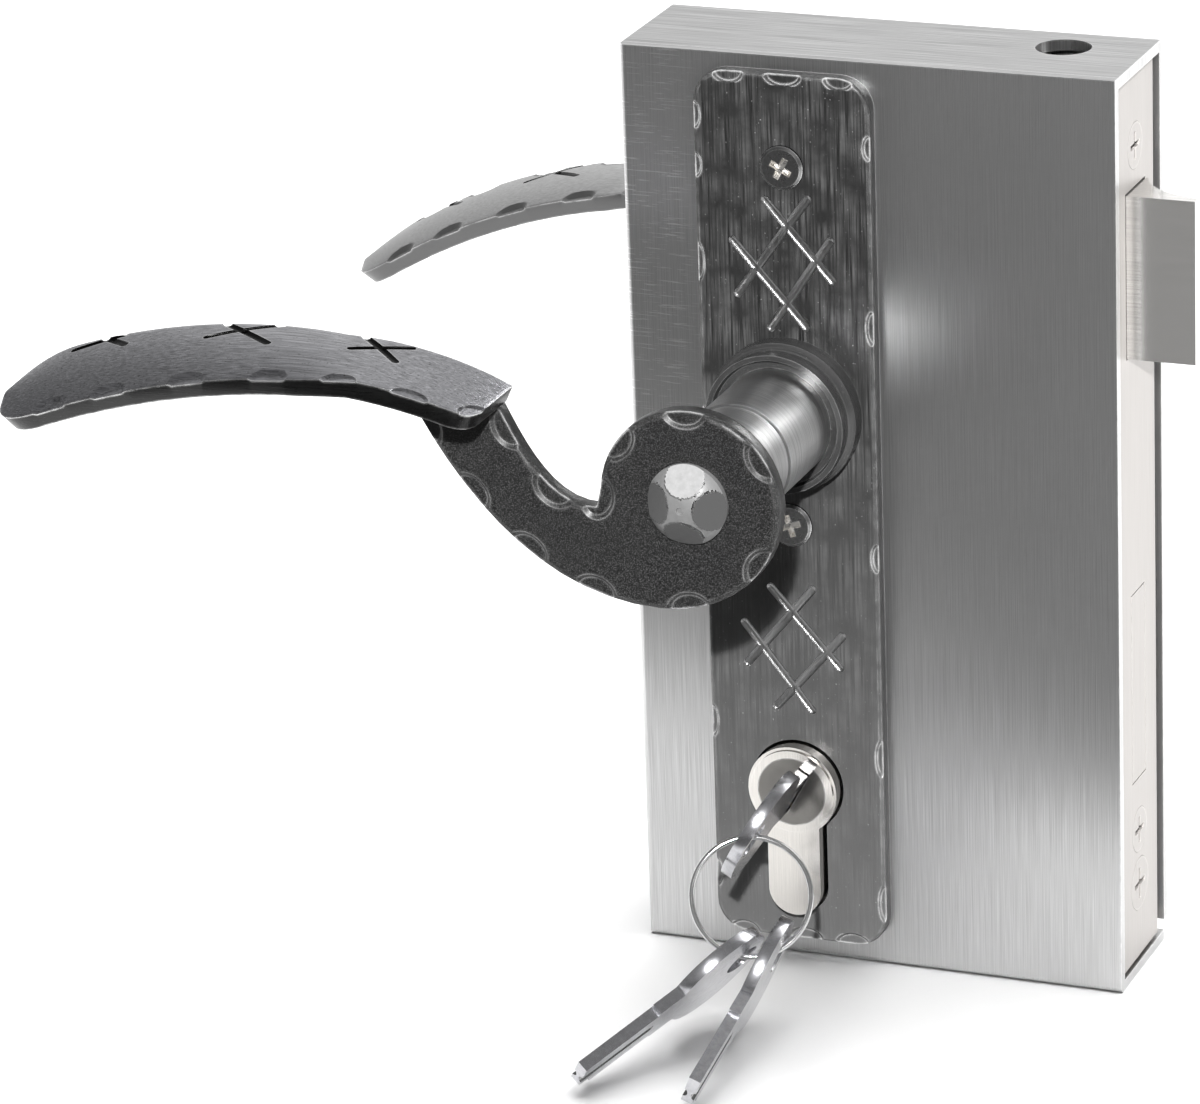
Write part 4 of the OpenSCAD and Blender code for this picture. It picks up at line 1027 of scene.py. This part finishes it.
# painted light and shade on the rivet head: how far each face is mixed towards the dark tone
PAINTED_LIT_BLOW = 0
PAINTED_SHADED_BLOW = 1
PAINTED_HALF_SHADE = 0.55
low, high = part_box("front_rivet")
ball_r = (RIVET_R ** 2 + DOME_H ** 2) / (2 * DOME_H)
middle = Vector((SPINDLE.x, low.y + ball_r, SPINDLE.z))
base_y = low.y + DOME_H
rivet = shaped(bpy.ops.mesh.primitive_uv_sphere_add, segments=BALL_SIDES, ring_count=BALL_SIDES,
    radius=ball_r, location=middle, rotation=(math.pi / 2, 0, 0))
rivet.name = "front_rivet_forged"
edit_all(rivet, bpy.ops.mesh.bisect, plane_co=(0, base_y, 0), plane_no=-FRONT, use_fill=True,
    clear_outer=True)
pick(rivet, "FACE", lambda face: face.normal.y > 0.99)
bpy.ops.mesh.extrude_region_move(TRANSFORM_OT_translate={"value": (0, high.y - base_y - RIVET_SEAT, 0)})
for blow in range(4):
    turn = BLOW_TURN + blow * math.pi / 2
    aim = Vector((math.cos(turn) * math.sin(BLOW_TILT), -math.cos(BLOW_TILT),
                  math.sin(turn) * math.sin(BLOW_TILT)))
    bpy.ops.mesh.select_all(action="SELECT")
    bpy.ops.mesh.bisect(plane_co=middle + aim * ball_r * math.cos(BLOW_HALF), plane_no=aim, use_fill=True,
        clear_outer=True)
bpy.ops.mesh.select_all(action="SELECT")
bpy.ops.mesh.sort_elements(type="CURSOR_DISTANCE", elements={"VERT"})
bpy.ops.mesh.remove_doubles(threshold=SLIVER)
done_editing()
punch = dent_cutter(Vector((SPINDLE.x, low.y, SPINDLE.z)), RIGHTWARD, FRONT, *PUNCH)
carve(rivet, [punch], crossing=False)


def painted_blow_shade(face):
    if face.area <= FLAT_AREA:
        return PAINTED_HALF_SHADE
    return PAINTED_LIT_BLOW if face.normal.z > 0.3 else PAINTED_SHADED_BLOW


painted_shades = [painted_blow_shade(face) for face in rivet.data.polygons]
rivet.data.attributes["dent"].data.foreach_set("value", painted_shades)
smooth(rivet, RIVET_ANGLE)
rear_rivet = twin_behind(rivet, "rear_rivet_forged", RIVET_ANGLE)
finish_piece(rivet, "front_rivet", "levers", "rivet_steel")
finish_piece(rear_rivet, "rear_rivet", "levers", "rivet_steel")

# %% [markdown]
# ## Keys
# The three keys are alike. Each solid gives the outline where it lies; a copy is merged into clean
# faces, a long groove is milled into both flat sides of the blade, and its edges are rounded by a bevel
# modifier, so that they catch the light.

# %% Keys
KEY_HALF = 1.1 * MM
KEY_EDGE = 0.18 * MM
KEY_TURN = math.radians(30)
MILL_R = 0.9 * MM
MILL_LIFT = 0.1 * MM
GROOVE_SPAN = (23 * MM, 42 * MM)
SPARE_DIP = math.radians(16.5)
RING_R = 10.7 * MM
RING_TURN = math.radians(22.5)
RING_LEAN = math.radians(20)
ring_hole = Vector((-14.5, -42.5, 35)) * MM
ring_side = Vector((math.cos(RING_TURN), math.sin(RING_TURN), 0))
ring_down = Vector((math.sin(RING_TURN) * math.sin(RING_LEAN), -math.cos(RING_TURN) * math.sin(RING_LEAN),
                    -math.cos(RING_LEAN)))
ring_centre = ring_hole + RING_R * ring_down


def spare_place(at, heading, roll):
    """Where a spare key's hole hangs, which way its blade points and which way its flat side looks, from
    angles in degrees: its place on the ring, its heading and its roll."""
    at, heading, roll = math.radians(at), math.radians(heading), math.radians(roll)
    hole = ring_centre + RING_R * (math.sin(at) * ring_side + math.cos(at) * ring_down)
    along = Vector((-math.sin(heading) * math.cos(SPARE_DIP), -math.cos(heading) * math.cos(SPARE_DIP),
                    -math.sin(SPARE_DIP)))
    flat = Vector((math.cos(heading), -math.sin(heading), 0))
    return hole, along, math.cos(roll) * flat + math.sin(roll) * flat.cross(along)


key_places = {
    "key": (ring_hole, -FRONT, Vector((math.cos(KEY_TURN), 0, -math.sin(KEY_TURN)))),
    "left_spare_key": spare_place(-15, 28, 40),
    "right_spare_key": spare_place(20, 3, 24),
}
key_bodies = {"key": "inserted_key", "left_spare_key": "left_key", "right_spare_key": "right_key"}
for node, (hole, along, flat) in key_places.items():
    piece = clean_copy(node, node + "_milled", degrees=1)
    mills = []
    for side in (1, -1):
        start, end = [hole + along * reach + side * flat * (KEY_HALF + MILL_LIFT) for reach in GROOVE_SPAN]
        mills.append(groove_cutter(start, end, MILL_R))
    carve(piece, mills)
    round_edges(piece, KEY_EDGE, segments=2, degrees=40)
    apply_modifiers(piece)
    smooth(piece)
    finish_piece(piece, node, key_bodies[node], "key_nickel")

# %% [markdown]
# ## Split ring
# A key ring is two turns of flat wire. One section of the wire is wound twice round by the screw
# modifier, its two ends are closed, and the coil is set in the keys' holes.

# %% Ring
WIRE_RADIAL = 1.0 * MM
WIRE_AXIAL = 0.84 * MM
COIL_ANGLE = 50


def wound(name, wire, start, axis, turns, rise, sides, steps):
    """Winds a section of wire, at its width and height, from start about an axis, and closes its ends."""
    piece = shaped(bpy.ops.mesh.primitive_circle_add, vertices=sides, radius=0.5)
    piece.name = name
    piece.scale = (*wire, 1)
    piece.rotation_euler.x = math.pi / 2
    piece.location = start
    settle(piece)
    coil = piece.modifiers.new("coil", "SCREW")
    coil.axis = axis
    coil.iterations = turns
    coil.screw_offset = rise
    coil.steps = steps
    coil.render_steps = steps
    coil.use_merge_vertices = False
    apply_modifiers(piece)
    edit_all(piece, bpy.ops.mesh.fill_holes, sides=0)
    return piece


ring = wound("split_ring", (WIRE_RADIAL, WIRE_AXIAL), (RING_R, 0, -WIRE_AXIAL), "Z", turns=2,
    rise=WIRE_AXIAL, sides=12, steps=96)
ring_axis = ring_side.cross(ring_down)
ring_frame = Matrix((ring_side, ring_axis.cross(ring_side), ring_axis)).transposed()
ring.matrix_world = Matrix.Translation(ring_centre) @ ring_frame.to_4x4()
settle(ring)
outward(ring)
smooth(ring, COIL_ANGLE)
finish_piece(ring, "key_ring", "ring", "ring_steel")

# %% [markdown]
# ## Latch spring
# The coil that pushes the latch out is pressed together when the lever draws the latch in, along its
# axis, towards the bridge that it stands on. Its wire is wound like the ring's.

# %% Spring
SPRING_WIRE = 0.9 * MM
SPRING_TURNS = 7
low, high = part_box("latch_spring")
spring_axis = (low + high) / 2
spring_axis.x = 0
spring = wound("latch_spring_coil", (SPRING_WIRE, SPRING_WIRE),
    (low.x + SPRING_WIRE / 2, 0, (high.z - low.z - SPRING_WIRE) / 2), "X", turns=SPRING_TURNS,
    rise=(high.x - low.x - SPRING_WIRE) / SPRING_TURNS, sides=10, steps=24)
spring.location = spring_axis
settle(spring)
outward(spring)
smooth(spring, COIL_ANGLE)
finish_piece(spring, "latch_spring", "lock_box", "spring_steel")
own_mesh(spring)

# %% [markdown]
# ## Plate screws
# The two screws in the front plate have low heads with a rubbed rim and a bright cross recess. A cone is
# the head's slanted rim, the rest of the head and a plain shank are extruded from it, and the recess is
# cut by two crossed wedges.

# %% Plate screws
HEAD_R = 4 * MM
HEAD_H = 2.5 * MM
HEAD_RIM = 0.5 * MM
SHANK_R = 2.5 * MM
RECESS_SPAN = 6.8 * MM
RECESS_W = 1.8 * MM
RECESS_DEPTH = 1.2 * MM
RECESS_SINK = 0.9
SCREW_TURNS = (62, 18)
low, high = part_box("backplate_screws")


def cross_cutter(centre, turn):
    """Two wedges, wide at the mouth, that cross at the screw's axis."""
    blades = []
    for quarter in (0, 90):
        blade = shaped(bpy.ops.mesh.primitive_cone_add, vertices=4, radius1=0.6, radius2=1.2, depth=2,
            rotation=(0, 0, math.pi / 4))
        angle = math.radians(turn + quarter)
        along = Vector((math.cos(angle), 0, math.sin(angle)))
        set_on(blade, centre, along, FRONT, RECESS_SPAN, RECESS_W, RECESS_DEPTH, RECESS_DEPTH * RECESS_SINK)
        blades.append(marked(blade, "groove"))
    return blades


screws = []
for z, turn in zip(SCREW_PLACES, SCREW_TURNS):
    screw = bored(HEAD_R - HEAD_RIM, SPINDLE.x, z, low.y, low.y + HEAD_RIM, HEAD_R)
    pick(screw, "FACE", lambda face: face.normal.y > 0.9)
    bpy.ops.mesh.extrude_region_move(TRANSFORM_OT_translate={"value": (0, HEAD_H - HEAD_RIM, 0)})
    bpy.ops.transform.resize(value=(SHANK_R / HEAD_R,) * 3)
    bpy.ops.mesh.extrude_region_move(TRANSFORM_OT_translate={"value": (0, high.y - low.y - HEAD_H, 0)})
    done_editing()
    carve(screw, cross_cutter(Vector((SPINDLE.x, low.y, z)), turn))
    screws.append(screw)
screw_finish = metal("rubbed_zinc", grey(0.16), grey(0.3), (0.24, 0.36), EVEN, 0.25, 0.1,
    edges=(BRIGHT_EDGE, 0.0004, 900, 5), marks={"groove": (0.9, 0.88, 0.85)})
plate_screws = joined(screws)
plate_screws.name = "plate_screws_cut"
smooth(plate_screws)
finish_piece(plate_screws, "backplate_screws", "lock_box", "zinc_screws", screw_finish)

# %% [markdown]
# ## The end
# The mark materials are removed, and the number of triangles is printed.

# %% Finish
for slot in mark_slots:
    bpy.data.materials.remove(slot)
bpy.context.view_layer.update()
meshes = [item.data for item in bpy.data.objects if item.type == "MESH"]
print("triangles:", sum(len(face.vertices) - 2 for mesh in meshes for face in mesh.polygons))
